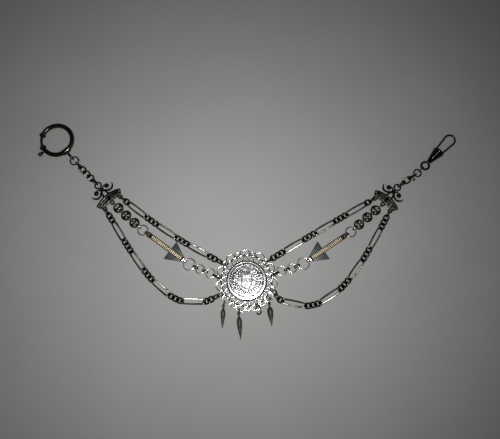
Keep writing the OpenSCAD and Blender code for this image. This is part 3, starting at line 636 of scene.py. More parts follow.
# Crowns: cast plates of oxidised steel. A pierced gallery between a rope rail and a plain rail,
# two crescents that end in horns and each hold a ball on a curved neck, a forked stem and an eye.
CROWNS = {"left_crown": ((-88.844, 18.413), 131), "right_crown": ((90.556, 17.213), 48)}
SCROLL_Z = 1.52
SCROLL_AT = Vector((4.7, 8.3, SCROLL_Z))
SCROLL_OUT = 3.5
SCROLL_IN = 3.0
SCROLL_SHIFT = 0.9              # how far the crescent's inner arc is moved, which thins its horns
SCROLL_TURNS = (196, 366)
HORN_TIP = 0.09
BALL_AT = Vector((4.2, 9, SCROLL_Z))
BALL_R = 1.6
# Eye and loops: middle, radius and half thickness of the wire
EYE = ((0, 12.5, 1.87), 2.05, 0.5)
LOOPS = (((-6.3, -3, 1.75), 1.15, 0.45), ((0, -2.6, 1.52), 1.15, 0.45), ((6.3, -3, 1.75), 1.15, 0.45))
# Gallery: heights of its plate, places and length of its holes, and how far its rails reach
PLATE_LOW = 0.25
PLATE_HIGH = 1.75
HOLES = ((1.75, -0.05, 1.9), (4.2, -0.15, 1.9), (6.5, -0.4, 1.5))
END_HOLE = (8.05, 0.75, 1.2)
HOLE_WIDTH = 0.75
TAIL_X = 8.7
ROPE_WIRE = 0.78
ROPE_PITCH = 0.95
RAIL_Z = 1.85
TAIL = ((7.3, -1.6), (7.8, -1.25), (8.6, 0.1), (9.2, 1.2), (9.0, 1.65), (8.5, 1.95))
# Curved neck of a ball and one side of the forked stem: (x, y) points and half thicknesses
BALL_NECK = ((3.3, 9.9), (2.5, 10.1), (1.7, 9.9), (1.1, 9.2), (0.8, 8.2))
BALL_NECK_R = [0.62, 0.52, 0.5, 0.55, 0.6]
STEM = ((2.2, 3.9), (1.75, 4.9), (1.45, 6.2), (1.1, 7.4), (0.5, 8.6))
STEM_R = [0.7, 0.6, 0.58, 0.62, 0.7]


def band_top(x):
    """Upper edge of the gallery, an arch."""
    return 4.25 - 0.026 * x * x


def band_low(x):
    """Lower edge of the gallery, a flatter arch."""
    return -1.1 - 0.0155 * x * x


def ball(radius, flat=1.0, segments=20):
    """A ball, or one pressed flat to a share of its height."""
    part = bmesh.new()
    part.verts.layers.float.new("dull")
    bmesh.ops.create_uvsphere(part, u_segments=segments, v_segments=segments // 2, radius=radius)
    bmesh.ops.scale(part, verts=part.verts, vec=(1, 1, flat))
    return part


def rope(path, thickness, pitch):
    """Two wires twisted together along a level path, as two parts."""
    lengths = [0]
    for a, b in zip(path, path[1:]):
        lengths.append(lengths[-1] + (b - a).length)
    turns = max(1, round(lengths[-1] / pitch))
    parts = []
    for start in (0, pi):
        line = []
        for i, point in enumerate(path):
            ahead = (path[min(i + 1, len(path) - 1)] - path[max(i - 1, 0)]).normalized()
            side = ahead.cross(UP)
            turn = start + 2 * pi * turns * lengths[i] / lengths[-1]
            line.append(point + (side * cos(turn) + UP * sin(turn)) * thickness / 4)
        parts.append(skin(line, thickness / 4 * 1.12, sides=8))
    return parts


def long_hole(x, y, length, width, turn):
    """The outline of a hole with round ends."""
    row = []
    for end, start in ((1, -90), (-1, 90)):
        for a in even(start, start + 180, 6):
            px = end * (length - width) / 2 + width / 2 * cos(radians(a))
            py = width / 2 * sin(radians(a))
            row.append((x + px * cos(turn) - py * sin(turn), y + px * sin(turn) + py * cos(turn)))
    return row


# Oxidised steel: nearly black in the hollows and rubbed grey on every raised edge
oxidised = metal("Cast steel, oxidised and rubbed", "565752", "171814", 0.27, 2.2, worn=(0.54, 0.78),
                 scratch=0.35, edges=0.25)
for node, (spot, up) in CROWNS.items():
    lie = Matrix.Translation((*spot, 0)) @ Matrix.Rotation(radians(up - 90), 4, "Z")
    bm = new_piece()
    outline = [(-9.5, 1.35), (-7.6, -1.85)] + [(x, band_low(x)) for x in even(-7, 7, 14)]
    outline += [(7.6, -1.85), (9.5, 1.35)] + [(x, band_top(x) - 0.2) for x in even(8.3, -8.3, 16)]
    holes = []
    for side in (-1, 1):
        for x, y, length in HOLES:
            holes.append(long_hole(side * x, y, length, HOLE_WIDTH, -side * 0.02 * x))
        x, y, length = END_HOLE
        holes.append(long_hole(side * x, y, length, HOLE_WIDTH, -side * 0.75))
    join(bm, plate(outline, PLATE_LOW, PLATE_HIGH, 0.12, holes), lie)
    shield = [(x, band_low(x) + 0.1) for x in even(-1, 1, 4)] + [(1, 3.6), (-1, 3.6)]
    join(bm, plate(shield, PLATE_LOW, 2.1, 0.15), lie)
    xs = even(-TAIL_X, TAIL_X, 150)
    for part in rope([Vector((x, band_top(x) - 0.45, 2.1)) for x in xs], ROPE_WIRE, ROPE_PITCH):
        join(bm, part, lie)
    # Three thin rails: two under the rope and one along the lower edge
    xs = even(-TAIL_X + 0.2, TAIL_X - 0.2, 40)
    join(bm, skin([Vector((x, band_top(x) - 1.2, RAIL_Z)) for x in xs], 0.27, sides=8), lie)
    join(bm, skin([Vector((x, band_top(x) - 2.75, 1.8)) for x in xs[2:-2]], 0.24, sides=8), lie)
    xs = even(-7.3, 7.3, 36)
    join(bm, skin([Vector((x, band_low(x) + 0.32, RAIL_Z)) for x in xs], 0.3, sides=8), lie)
    for side in (-1, 1):
        join(bm, skin([Vector((side * x, y, RAIL_Z)) for x, y in TAIL], 0.3, sides=8), lie)
        join(bm, ball(0.42, segments=12), lie @ Matrix.Translation((side * 9.15, 1.3, 1.95)))
        for x in even(1.7, 7.4, 5):
            join(bm, ball(0.44, 0.8, 12), lie @ Matrix.Translation((side * x, band_top(x) - 1.98, 1.72)))
        # A crescent between two arcs, its ball with a pip on top, the ball's neck and the stem
        mirror = lie @ Matrix.Diagonal((side, 1, 1, 1))
        line = []
        thick = []
        for a in even(*SCROLL_TURNS, 40):
            across, along = SCROLL_SHIFT * cos(radians(a)), SCROLL_SHIFT * sin(radians(a))
            inner = along + sqrt(SCROLL_IN ** 2 - across ** 2)
            line.append(SCROLL_AT + polar((SCROLL_OUT + inner) / 2, a))
            thick.append(max(HORN_TIP, (SCROLL_OUT - inner) / 2))
        join(bm, skin(line, thick, sides=14), mirror)
        join(bm, ball(BALL_R, 0.62), mirror @ Matrix.Translation(BALL_AT))
        join(bm, ball(0.42, 0.8, 12), mirror @ Matrix.Translation(BALL_AT + Vector((-0.1, -0.1, 0.92))))
        join(bm, skin([Vector((*p, SCROLL_Z)) for p in BALL_NECK], BALL_NECK_R, sides=10), mirror)
        join(bm, skin([Vector((*p, SCROLL_Z)) for p in STEM], STEM_R, sides=10), mirror)
    # Where both sides meet: an upright to the eye, with a boss
    upright = [Vector((0, y, SCROLL_Z + 0.1)) for y in (7.6, 8.6, 9.6, 10.4)]
    join(bm, skin(upright, [0.75, 0.85, 0.7, 0.6]), lie)
    join(bm, ball(0.95, 0.8), lie @ Matrix.Translation((0, 8.1, SCROLL_Z + 0.2)))
    for middle, radius, wire in (EYE, *LOOPS):
        ring = [Vector(middle) + polar(radius, a) for a in even(0, 360, 30)[:-1]]
        join(bm, skin(ring, wire, closed=True), lie)
    piece = finished(bm, node + "_casting", oxidised)
    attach(piece, "chain")
    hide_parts(node)

# Discs: stamped nickel silver washers with a raised rim and a bar across, flared where it meets
# the rim, which leaves two slots for the joiners.
DISC_R = 3.35
DISC_SLOT = 2.3
RIM_MID = 2.83
RIM_HALF = 0.53
RIM_Z = 0.32
RIM_SHADE = 0.5
FLARE = [(0.68, 0), (0.7, 0.9), (1.05, 1.5), (1.6, 2.0), (1.5, 2.45)]
# Stamped nickel silver: brown in the hollows, and rubbed grey on the raised edges of the rim and the bar.
# The rim is painted darker all round, as painted shade
stamped = metal("Nickel silver, stamped and tarnished", "8E8778", "2C2820", 0.24, 1.8, worn=(0.46, 0.66),
                edges=0.25)


def middle_of(node):
    """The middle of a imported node, in millimetres."""
    low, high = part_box(node)
    return (low + high) / 2 / MM


# The rim's section, from its inner wall over the rounded top and round to the inner wall
arch = even(0.5, pi - 0.5, 6)
rim = [(DISC_SLOT, -RIM_Z), (DISC_SLOT, RIM_Z)]
rim += [(RIM_MID - RIM_HALF * cos(a), RIM_Z + 0.24 * sin(a)) for a in arch]
rim += [(DISC_R, 0.25), (DISC_R, -0.25)]
rim += [(RIM_MID + RIM_HALF * cos(a), -RIM_Z - 0.18 * sin(a)) for a in arch]
cross_bar = FLARE + [(-x, y) for x, y in reversed(FLARE)] + [(-x, -y) for x, y in FLARE[1:]]
cross_bar += [(x, -y) for x, y in reversed(FLARE[1:])]
for side in ("left", "right"):
    row = [f"{side}_disc_1", f"{side}_disc_2", f"{side}_disc_3", f"{side}_ring_a"]
    for node, following in zip(row, row[1:]):
        here = middle_of(node)
        there = middle_of(following)
        turn = atan2(there.y - here.y, there.x - here.x)
        lie = Matrix.Translation(here) @ Matrix.Rotation(turn, 4, "Z")
        bm = new_piece()
        part = bmesh.new()
        dulled = part.verts.layers.float.new("dull")
        verts = [part.verts.new((r, 0, z)) for r, z in rim]
        # Painted shade: every point of the rim is darkened
        for vert in verts:
            vert[dulled] = RIM_SHADE
        edges = [part.edges.new(pair) for pair in zip(verts, verts[1:] + verts[:1])]
        bmesh.ops.spin(part, geom=verts + edges, cent=(0, 0, 0), axis=(0, 0, 1), dvec=(0, 0, 0),
                       angle=2 * pi, steps=48, use_merge=True)
        join(bm, part, lie)
        join(bm, plate(cross_bar, -0.36, 0.4, 0.1), lie)
        join(bm, ball(0.62, 0.75, 16), lie @ Matrix.Translation((0, 0, 0.25)))
        piece = finished(bm, node + "_stamping", stamped)
        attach(piece, "chain")
        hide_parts(node)

# Bars: brass strip filed into close ribs across its flat top and gilt, with a dark square ferrule
# and two rows of beads at the outer end, a bright cap at the inner end and a short upright strap
# eye at each. A slate grey arrowhead plate of lacquered steel is soldered underneath.
BAR_HALF_W = 1.7
BAR_FLAT = 1.1 / 1.7            # half height over half width
BAR_Z = 1.6
RIB_DEPTH = 0.25
RIBS = 20
RIB_SHARE = 0.7                 # a rib's share of the pitch, the rest is groove
RIB_STEPS = (0, 0.06, 0.2, 0.5, 0.8, 0.94, 1)
STRAP_EYE_R = 1.0
STRAP_EYE_HALF = 0.35           # half the strap's thickness
STRAP_EYE_HALF_W = 1.0
STRAP_EYE_Z = 1.52
STRAP_EYE_IN = 0.09             # the eyes are this far inside the rings
BODY_END = 0.8
SQUARE_END = 2.3
BEADS_END = 4.4
BEAD_ROW = (-1.2, -0.4, 0.4, 1.2)
CAP = 2.8
ARROW = 14
ARROW_PAST = 1.9
ARROW_LOW = 0.02
ARROW_HIGH = 0.42
# Gilding is a pale gold on the ribs and worn to brown brass in patches, and the grooves between the ribs
# are painted brown as shade
gilt = metal("Gilt brass, ribbed and worn", "B5A88F", "453B2C", 0.38, 1.2, worn=(0.25, 0.5), scratch=0.1)
# The ferrule's brass was blackened with acid, and handling has rubbed its edges brown
dark_brass = metal("Brass ferrule, blackened", "464133", "1E1B15", 0.36, 1.5, edges=0.3)
# Polished silver mirrors the lamp in hard white spots and the dark room between them
silver = metal("Silver, polished", "CFCFCC", "8E8D88", 0.14, 3, worn=(0.2, 0.42), scratch=0.02)
# Slate grey lacquer on steel plate is even and satin, with paler edges
slate = metal("Steel plate, slate grey lacquer", "666B6E", "474B4E", 0.45, 4, scratch=0.3, edges=0.35)


def bar_part(rows):
    """A length of bar with a flat top, from (along, half width) rows. Its hollows are painted darker, as
    shade.
    """
    return skin([Vector((x, 0, BAR_Z)) for x, r in rows], [r for x, r in rows], sides=36,
                dull=[max(0, 4 * (BAR_HALF_W - 0.06 - r)) for x, r in rows],
                ups=[UP] * len(rows), tall=BAR_FLAT, square=7)


for side in ("left", "right"):
    ends = [middle_of(f"{side}_ring_a"), middle_of(f"{side}_ring_b")]
    ahead = (ends[1] - ends[0]).normalized()
    radii = [laid(solids_of(f"{side}_ring_{k}")[0])[1] for k in "ab"]
    start = ends[0] + ahead * (radii[0][0] - radii[0][2] - STRAP_EYE_IN)
    stop = ends[1] - ahead * (radii[1][0] - radii[1][2] - STRAP_EYE_IN)
    length = (stop - start).length
    lie = Matrix.Translation((start.x, start.y, 0)) @ Matrix.Rotation(atan2(ahead.y, ahead.x), 4, "Z")
    bm = new_piece()
    # Gilt ribs, with a thin core that is hidden in the ferrule and the cap
    low = BAR_HALF_W - RIB_DEPTH
    pitch = (length - CAP - BEADS_END) / RIBS
    rows = [(SQUARE_END - 0.1, 0.1), (SQUARE_END - 0.09, low - 0.05), (BEADS_END - 0.02, low)]
    for k in range(RIBS):
        rows += [(BEADS_END + (k + 0.05 + RIB_SHARE * t) * pitch,
                  low + RIB_DEPTH * sqrt(1 - (2 * t - 1) ** 2)) for t in RIB_STEPS]
    rows += [(length - CAP + 0.1, low), (length - CAP + 0.11, 0.1)]
    join(bm, bar_part(rows), lie)
    # Ferrule: its square part, and two rows of beads over the bar's top and down its sides
    join(bm, bar_part([(BODY_END, 0.1), (BODY_END + 0.01, 1.45), (BODY_END + 0.12, 1.6),
                       (SQUARE_END - 0.12, 1.7), (SQUARE_END, 1.6), (SQUARE_END + 0.01, 0.1)]), lie, 1)
    for x in (SQUARE_END + 0.55, BEADS_END - 0.55):
        for y in BEAD_ROW:
            join(bm, ball(0.43, 0.75, 12), lie @ Matrix.Translation((x, y, BAR_Z + 0.85)), 1)
        for y in (-1.32, 1.32):
            join(bm, ball(0.36, 1.2, 12), lie @ Matrix.Translation((x, y, BAR_Z + 0.1)), 1)
    end = length - BODY_END
    join(bm, bar_part([(length - CAP, 0.1), (length - CAP + 0.01, 1.6), (length - CAP + 0.12, 1.7),
                       (end - 0.3, 1.7), (end - 0.06, 1.55), (end, 1.3), (end + 0.01, 0.1)]), lie, 2)
    for x, finish in ((0, 1), (length, 2)):
        round_eye = even(0, 2 * pi, 32)[:-1]
        outside, inside = ([(r * cos(a), r * sin(a)) for a in round_eye]
                           for r in (STRAP_EYE_R + STRAP_EYE_HALF, STRAP_EYE_R - STRAP_EYE_HALF))
        join(bm, plate(outside, -STRAP_EYE_HALF_W, STRAP_EYE_HALF_W, 0.1, [inside]),
             lie @ Matrix.Translation((x, 0, STRAP_EYE_Z)) @ Matrix.Rotation(pi / 2, 4, "X"), finish)
    # Arrowhead plate, with a rail a little inside its edge and two pressed creases
    tip = length + radii[1][0] - radii[1][2] - STRAP_EYE_IN - ARROW_PAST
    back = tip - ARROW + 0.05
    corners = [(tip - 0.15, 0), (back, ARROW / 2 - 0.1), (back, 0.1 - ARROW / 2)]
    join(bm, plate(corners, ARROW_LOW, ARROW_HIGH, 0.06), lie, 3)
    middle = Vector((tip - ARROW * 0.62, 0))
    rail = []
    for corner, following in zip(corners, corners[1:] + corners[:1]):
        a, b = (Vector(c) + (middle - Vector(c)).normalized() * 0.55 for c in (corner, following))
        rail += [Vector((*a.lerp(b, t), ARROW_HIGH)) for t in even(0.02, 0.98, 12)]
    join(bm, skin(rail, 0.17, closed=True, sides=8), lie, 3)
    for s in (-1, 1):
        crease = [Vector((tip - ARROW * 0.95 + t * 10.5, s * (ARROW / 2 - 1.5) * (1 - t) * 0.72,
                          ARROW_HIGH)) for t in even(0.03, 0.8, 8)]
        join(bm, skin(crease, 0.1, sides=6), lie, 3)
    piece = finished(bm, f"{side}_bar_and_arrow", gilt, dark_brass, silver, slate)
    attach(piece, "chain")
    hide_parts(f"{side}_bar")

# Medallion frame: polished silver. A turned bezel holds the coin, a zigzag wire joins it to a
# ring of twisted square wire, and two sizes of wire scallop are soldered round the outside.
FRAME_Z = 1.52
TWIST_R = 16.05
SCALLOPS = 11
FIRST_SCALLOP = 93.5
LARGE = (19.6, 3.4)             # reach from the middle and radius of the loop
SMALL = (18.6, 2.45)
SCALLOP_WIRE = 0.35
SCALLOP_OFF = 0.03              # the large scallops lie over the small ones
TWIST_WIRE = 0.42
TWISTS = 6                      # turns of the square wire for each turn round the ring
ZIGZAG_WIRE = 0.26
ZIGZAG_SHARP = 0.96
BEZEL_OUT = 12.85
BEZEL_IN = 11.98
BEZEL_TOP = 2.5
BEZEL_STEPS = 144
# Painted shade: the bezel's groove is near black, which sets the bright lip off from the wall
shaded_silver = metal("Silver, painted dark in the groove as shade", "3C3A36", "151412", 0.35, 1)
coin_mid = middle_of("medal_coin")
lie = Matrix.Translation((coin_mid.x, coin_mid.y, 0))
bm = new_piece()
upright = lie @ Matrix.Rotation(-pi / 2, 4, "Y")
# Outside wall and bright inner lip, then the slope between them and the seat, painted near black as shade
join(bm, lathe([(0.02, BEZEL_IN - 0.5), (0.02, BEZEL_OUT - 0.1), (0.15, BEZEL_OUT), (0.5, BEZEL_OUT),
                (0.62, BEZEL_OUT - 0.2), (0.8, BEZEL_OUT - 0.2), (0.92, BEZEL_OUT), (1.6, BEZEL_OUT),
                (1.75, BEZEL_OUT - 0.08)], BEZEL_STEPS), upright)
join(bm, lathe([(2.3, BEZEL_IN + 0.12), (BEZEL_TOP, BEZEL_IN - 0.02), (BEZEL_TOP, BEZEL_IN - 0.3),
                (2.42, BEZEL_IN - 0.4), (2.25, BEZEL_IN - 0.4)], BEZEL_STEPS), upright)
# These slopes take the near black silver, as painted shade
for line in ([(1.75, BEZEL_OUT - 0.08), (2.0, BEZEL_IN + 0.25), (2.3, BEZEL_IN + 0.12)],
             [(2.25, BEZEL_IN - 0.4), (2.0, BEZEL_IN - 0.02), (0.35, BEZEL_IN - 0.02),
              (0.35, BEZEL_IN - 0.5), (0.02, BEZEL_IN - 0.5)]):
    join(bm, lathe(line, BEZEL_STEPS), upright, 1)
bmesh.ops.remove_doubles(bm, verts=bm.verts, dist=1e-3)
bmesh.ops.recalc_face_normals(bm, faces=bm.faces)
# The ring is square wire, twisted by a quarter turn every 4.2 mm
turns = even(0, 360, 288)[:-1]
ups = [polar(sin(radians(TWISTS * a)), a, cos(radians(TWISTS * a))) for a in turns]
join(bm, skin([polar(TWIST_R, a, FRAME_Z) for a in turns], TWIST_WIRE, closed=True, sides=16, ups=ups,
              square=5), lie)
# The zigzag's corners are a little rounded
zigzag = []
for a in even(0, 360, 44 * 12)[:-1]:
    turn = radians(a - FIRST_SCALLOP) * SCALLOPS * 2 + pi / 2
    wave = asin(ZIGZAG_SHARP * sin(turn)) / asin(ZIGZAG_SHARP)
    reach = (BEZEL_OUT + TWIST_R) / 2 - 0.1 + wave * (TWIST_R - BEZEL_OUT - 0.3) / 2
    zigzag.append(polar(reach, a, FRAME_Z))
join(bm, skin(zigzag, ZIGZAG_WIRE, closed=True, sides=16, ups=[UP] * len(zigzag), tall=1.2, square=2.8),
     lie)
# Each scallop is an arc that starts and ends on the ring and has a ball on its top
for (reach, radius), turn, z in ((LARGE, 0, SCALLOP_OFF), (SMALL, -180 / SCALLOPS, -SCALLOP_OFF)):
    for k in range(SCALLOPS):
        a = FIRST_SCALLOP + turn - k * 360 / SCALLOPS
        mid = reach - radius
        meet = degrees(acos((TWIST_R ** 2 - mid ** 2 - radius ** 2) / (2 * mid * radius)))
        line = [polar(mid, a) + polar(radius, a + t, FRAME_Z + z) for t in even(-meet, meet, 32)]
        join(bm, skin(line, SCALLOP_WIRE, sides=16, ups=[UP] * len(line), square=2.8), lie)
        top = polar(mid, a) + polar(radius, a, FRAME_Z + z)
        join(bm, ball(0.5, 0.8, 10), lie @ Matrix.Translation(top))
piece = finished(bm, "medallion_frame", silver, shaded_silver)
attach(piece, "chain")
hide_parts("medal_frame")

# Coin: struck silver, worn. A crowned shield between two sprays of leaves, inside a ring of beads
# and a raised rim. The design is a plain one of no country, and there is no lettering.
COIN_R = 11.9
COIN_LOW = 0.4
COIN_TOP = COIN_LOW + 1.8
FIELD = COIN_TOP - 0.15
FIELD_R = 10.95
FIELD_ROWS = 125
COIN_STEPS = 400
RELIEF = 0.3
PEARLS = 76
PEARL_RING = 10.3
PEARL_R = 0.33
SHIELD_Y = -0.9                 # where the shield's straight sides end
SHIELD_HALF = 3.3
SHIELD_DROP = 4.9
CROWN_Y = 3.1
BAND_HALF = 2.7
SPIKE_GAP = 1.32
SPRAY_R = 7.3
LEAF_HALF = 1.15
LEAF_WIDTH = 0.42


def ridge_step(distance, soft):
    """1 where distance is below zero, falling softly to 0 over soft."""
    return np.clip(0.5 - distance / soft, 0, 1)


def dome(share):
    """A round top over the places where share, a squared distance, is below 1."""
    return np.sqrt(np.clip(1 - share, 0, 1))


def struck(x, y):
    """Height of the design over the field, from 0 to 1."""
    r = np.hypot(x, y)
    a = np.arctan2(y, x)
    # Wear has left the field a little wavy
    high = 0.1 * (1 + np.sin(x * 1.1 + 0.7 * y + 1) * np.sin(y * 1.3 - 0.4 * x + 0.5)) / 2
    pearl = 2 * pi / PEARLS
    off = (a + pearl / 2) % pearl - pearl / 2
    pearls = dome((off * PEARL_RING / PEARL_R) ** 2 + ((r - PEARL_RING) / PEARL_R) ** 2)
    high = np.maximum(high, 0.6 * pearls)
    # Shield: straight sides, and a point below where two arcs meet
    sy = y - SHIELD_Y
    half = np.where(sy > 0, SHIELD_HALF, SHIELD_HALF * dome((sy / SHIELD_DROP) ** 2))
    edge = np.maximum(np.maximum(np.abs(x) - half, sy - SHIELD_HALF), -SHIELD_DROP - sy)
    high = np.maximum(high, 0.75 * ridge_step(edge, 0.3))
    # Its four fields are striped and checked in turn, under a cross
    inside = ridge_step(edge + 0.5, 0.2)
    striped = (x > 0) ^ (sy > -0.3)
    stripes = 0.42 + 0.12 * np.sign(np.sin(x * 2 * pi / 0.75))
    checks = 0.62 + 0.12 * np.sign(np.sin((x + sy) * 2 * pi / 1.1) * np.sin((x - sy) * 2 * pi / 1.1))
    panel = np.where(striped, stripes, checks)
    cross = ridge_step(np.minimum(np.abs(x), np.abs(sy + 0.3)) - 0.22, 0.15)
    high = np.where(inside > 0, high * (1 - inside) + inside * np.maximum(panel, 0.9 * cross), high)
    # Crown over the shield: band, five points with pearls
    cy = y - CROWN_Y
    band = np.maximum(np.abs(x) - BAND_HALF, np.abs(cy) - 0.42)
    high = np.maximum(high, 0.85 * ridge_step(band, 0.2))
    for k in range(-2, 3):
        px = k * SPIKE_GAP
        tall = 2.5 - 0.32 * abs(k)
        lean = px * 0.1
        spike = np.maximum(np.abs(x - px - lean * cy) - 0.62 * (1 - (cy - 0.3) / tall), -(cy - 0.3))
        high = np.maximum(high, 0.7 * ridge_step(spike, 0.2) * (cy > 0.3))
        d = np.hypot(x - px - lean * tall, cy - 0.3 - tall) / 0.36
        high = np.maximum(high, 0.9 * dome(d * d))
    # Sprays: leaves in pairs along two arcs, each with a vein, and a stem
    for side in (-1, 1):
        for turn in np.radians(np.linspace(-78, 52, 11)):
            bx = side * SPRAY_R * np.cos(turn)
            by = SPRAY_R * np.sin(turn)
            for tilt, out in ((0.5, 0.85), (-0.5, -0.85)):
                way = turn + pi / 2 - tilt
                dx = side * np.cos(way)
                dy = np.sin(way)
                mx = bx + side * out * np.cos(turn) * 0.7 + dx * 0.7
                my = by + out * np.sin(turn) * 0.7 + dy * 0.7
                along = (x - mx) * dx + (y - my) * dy
                across = (x - mx) * -dy + (y - my) * dx
                width = LEAF_WIDTH * (LEAF_HALF - 0.3 * along)
                vein = 0.25 * np.exp(-(across / 0.09) ** 2)
                leaf = dome((along / LEAF_HALF) ** 2 + (across / width) ** 2)
                high = np.maximum(high, (0.85 - vein) * leaf)
        stem = ridge_step(np.abs(r - SPRAY_R) - 0.11, 0.1)
        high = np.maximum(high, 0.5 * stem * (side * x > 0) * (y > -7.6) * (y < 6.3))
    # Knot where the sprays cross
    for tilt in (-0.55, 0.55):
        dx = cos(tilt)
        dy = sin(tilt)
        along = x * dx + (y + 7.6) * dy
        across = -x * dy + (y + 7.6) * dx
        high = np.maximum(high, 0.8 * dome((along / 1.5) ** 2 + (across / 0.34) ** 2))
    return high


bm = bmesh.new()
outline = [(0, COIN_LOW + 0.1), (10.9, COIN_LOW + 0.1), (11.05, COIN_LOW), (COIN_R - 0.1, COIN_LOW),
           (COIN_R, COIN_LOW + 0.1), (COIN_R, COIN_TOP - 0.1), (COIN_R - 0.1, COIN_TOP),
           (11.15, COIN_TOP), (11.0, FIELD)]
outline += [(FIELD_R * i / FIELD_ROWS, FIELD) for i in range(FIELD_ROWS, -1, -1)]
row = [bm.verts.new((r, 0, z)) for r, z in outline]
edges = [bm.edges.new(pair) for pair in zip(row, row[1:])]
bmesh.ops.spin(bm, geom=row + edges, cent=(0, 0, 0), axis=(0, 0, 1), dvec=(0, 0, 0), angle=2 * pi,
               steps=COIN_STEPS, use_merge=True)
bmesh.ops.remove_doubles(bm, verts=bm.verts, dist=1e-4)
bmesh.ops.recalc_face_normals(bm, faces=bm.faces)
dulled = bm.verts.layers.float.new("dull")
field = [v for v in bm.verts if abs(v.co.z - FIELD) < 1e-4 and v.co.xy.length < FIELD_R + 0.01]
spots = np.array([v.co[:2] for v in field])
# The design rises from the field, and dirt is left in its hollows
for vert, height in zip(field, struck(spots[:, 0], spots[:, 1])):
    vert.co.z += RELIEF * height
    vert[dulled] = 0.5 * max(0, 1 - height * 2)
bm.transform(lie)
# Struck silver is a soft grey in the field, with raised parts that wear has left bright
struck_silver = metal("Struck silver, worn", "BDBEBF", "6C6E73", 0.16, 4, worn=(0.28, 0.56), scratch=0.1,
                      edges=0.3)
piece = finished(bm, "struck_coin", struck_silver)
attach(piece, "chain")
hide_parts("medal_coin")

# Tie rings: rings of the same tarnished wire, bent shut through the scallops. They hold the ends of
# the outer strands and the three drops.
bm = new_piece()
for points in solids_of("medal_rings"):
    add_ring(bm, points)
piece = finished(bm, "tie_rings", tarnished)
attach(piece, "chain")
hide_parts("medal_rings")

# Drops: slender spindles turned from steel, browned, with brass showing at the point, a bead and
# a fine seam round the neck, and a small eye.
DROP_EYE = 0.78
DROP_EYE_WIRE = 0.28
DROP_BEAD = [(0.7, 0), (0.72, 0.42), (1.1, 0.46), (1.3, 0.62), (1.55, 0.66), (1.75, 0.55), (1.9, 0.6)]
# Shares of the length and of the half width, from the shoulder over the seam to the point
DROP_BODY = [(0.17, 0.62), (0.22, 0.84), (0.27, 0.96), (0.33, 1), (0.42, 0.96), (0.5, 0.88),
             (0.545, 0.815), (0.55, 0.77), (0.562, 0.77), (0.567, 0.79), (0.68, 0.6), (0.8, 0.4),
             (0.9, 0.23), (0.97, 0.12), (1, 0.03), (1, 0)]
BROWNING = 1.4
# Browned steel is a dull dark brown with a faint sheen, and brass gives the point an orange tinge
browned, tree = new_material("Steel, browned, brass at the point")
place = add(tree, "TexCoord", {})
cloud = add(tree, "TexNoise", {"Scale": 1 / (BROWNING * MM), "Detail": 4},
            {"Vector": place.outputs["Object"]})
along = add(tree, "Attribute", {"attribute_name": "along"})
steel = add(tree, "Mix", {"data_type": "RGBA", 6: linear("38342A"), 7: linear("6E6857")},
            {0: cloud.outputs["Fac"]})
shown = add(tree, "MapRange", {"From Min": 0.6, "From Max": 0.95}, {"Value": along.outputs["Fac"]})
tone = add(tree, "Mix", {"data_type": "RGBA", 7: linear("B4884A")},
           {0: shown.outputs[0], 6: steel.outputs[2]})
bump = add(tree, "Bump", {"Strength": 0.2, "Distance": MARK_DEPTH * MM}, {"Height": cloud.outputs["Fac"]})
shader = add(tree, "BsdfPrincipled", {"Metallic": 0.7, "Roughness": 0.5},
             {"Base Color": tone.outputs[2], "Normal": bump.outputs["Normal"]})
add(tree, "OutputMaterial", {}, {"Surface": shader.outputs["BSDF"]})
for node, width, brassy in (("drop_left", 3, 0.65), ("drop_middle", 3.3, 0.7), ("drop_right", 3.8, 1)):
    points = solids_of(node)[0]
    place = laid(points)[0]
    # It points towards the viewer, which is down in the photo
    ahead = place.to_3x3().col[0]
    if ahead.y > 0:
        ahead = -ahead
    spots = (points - np.array(place.translation)) @ np.array(ahead)
    eye_points = points[spots < spots.min() + 0.9]
    through = laid(eye_points)[0].to_3x3().col[2]
    across = through.cross(ahead).normalized()
    origin = place.translation + ahead * (spots.min() + DROP_EYE + DROP_EYE_WIRE)
    long = spots.max() - spots.min() - DROP_EYE - DROP_EYE_WIRE
    turn = Matrix((ahead, across, ahead.cross(across))).transposed().to_4x4()
    lie = Matrix.Translation(origin) @ turn
    body = lathe(DROP_BEAD + [(x * long, width / 2 * w) for x, w in DROP_BODY], 36)
    bm = new_piece()
    bm.verts.layers.float.new("along")
    far = body.verts.layers.float.new("along")
    for vert in body.verts:
        vert[far] = vert.co.x / long * brassy
    join(bm, body, lie)
    eye = [Vector((DROP_EYE * cos(a), DROP_EYE * sin(a), 0)) for a in even(0, 2 * pi, 22)[:-1]]
    join(bm, skin(eye, DROP_EYE_WIRE, closed=True, sides=8), lie)
    piece = finished(bm, node + "_spindle", browned)
    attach(piece, "chain")
    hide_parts(node)

# Swivel clip: black nickel plate, polished. A ring on a stem turns in the neck of a conical
# barrel, and two legs of wire leave its wide end: the fixed nose, and the gate that springs in.
CLIP_EYE_R = 2.5
CLIP_EYE_WIRE = 0.7
CLIP_STEM = [(2.6, 0), (2.6, 0.8), (2.95, 0.85), (3.2, 0.6), (5.4, 0.6), (5.4, 0)]
CLIP_WIRE = 0.575
BARREL = [(3.5, 0), (3.5, 1.35), (3.6, 1.55), (3.85, 1.62), (4.1, 1.55), (4.2, 1.66), (7, 2.35),
          (10.6, 3.28), (10.72, 3.22), (10.84, 3.34), (11.3, 3.46), (11.42, 3.4), (11.54, 3.52),
          (12.35, 3.78), (12.6, 3.84), (12.95, 3.8), (13.25, 3.6), (13.5, 3.3), (13.5, 0)]
BARREL_BORE = [(2.5, 0), (2.5, 0.68), (5.9, 0.68), (5.9, 0)]
HOOK_ROOT = Vector((12.6, 2.3))
HOOK_R = 3.45
HOOK_MID = 23.275
NOSE_END = 42                   # the nose and the gate are made up to these angles round the bend,
GATE_END = 40                   # and are cut off square to the clip, with a gap between the cuts
GATE_CUT = 25.8
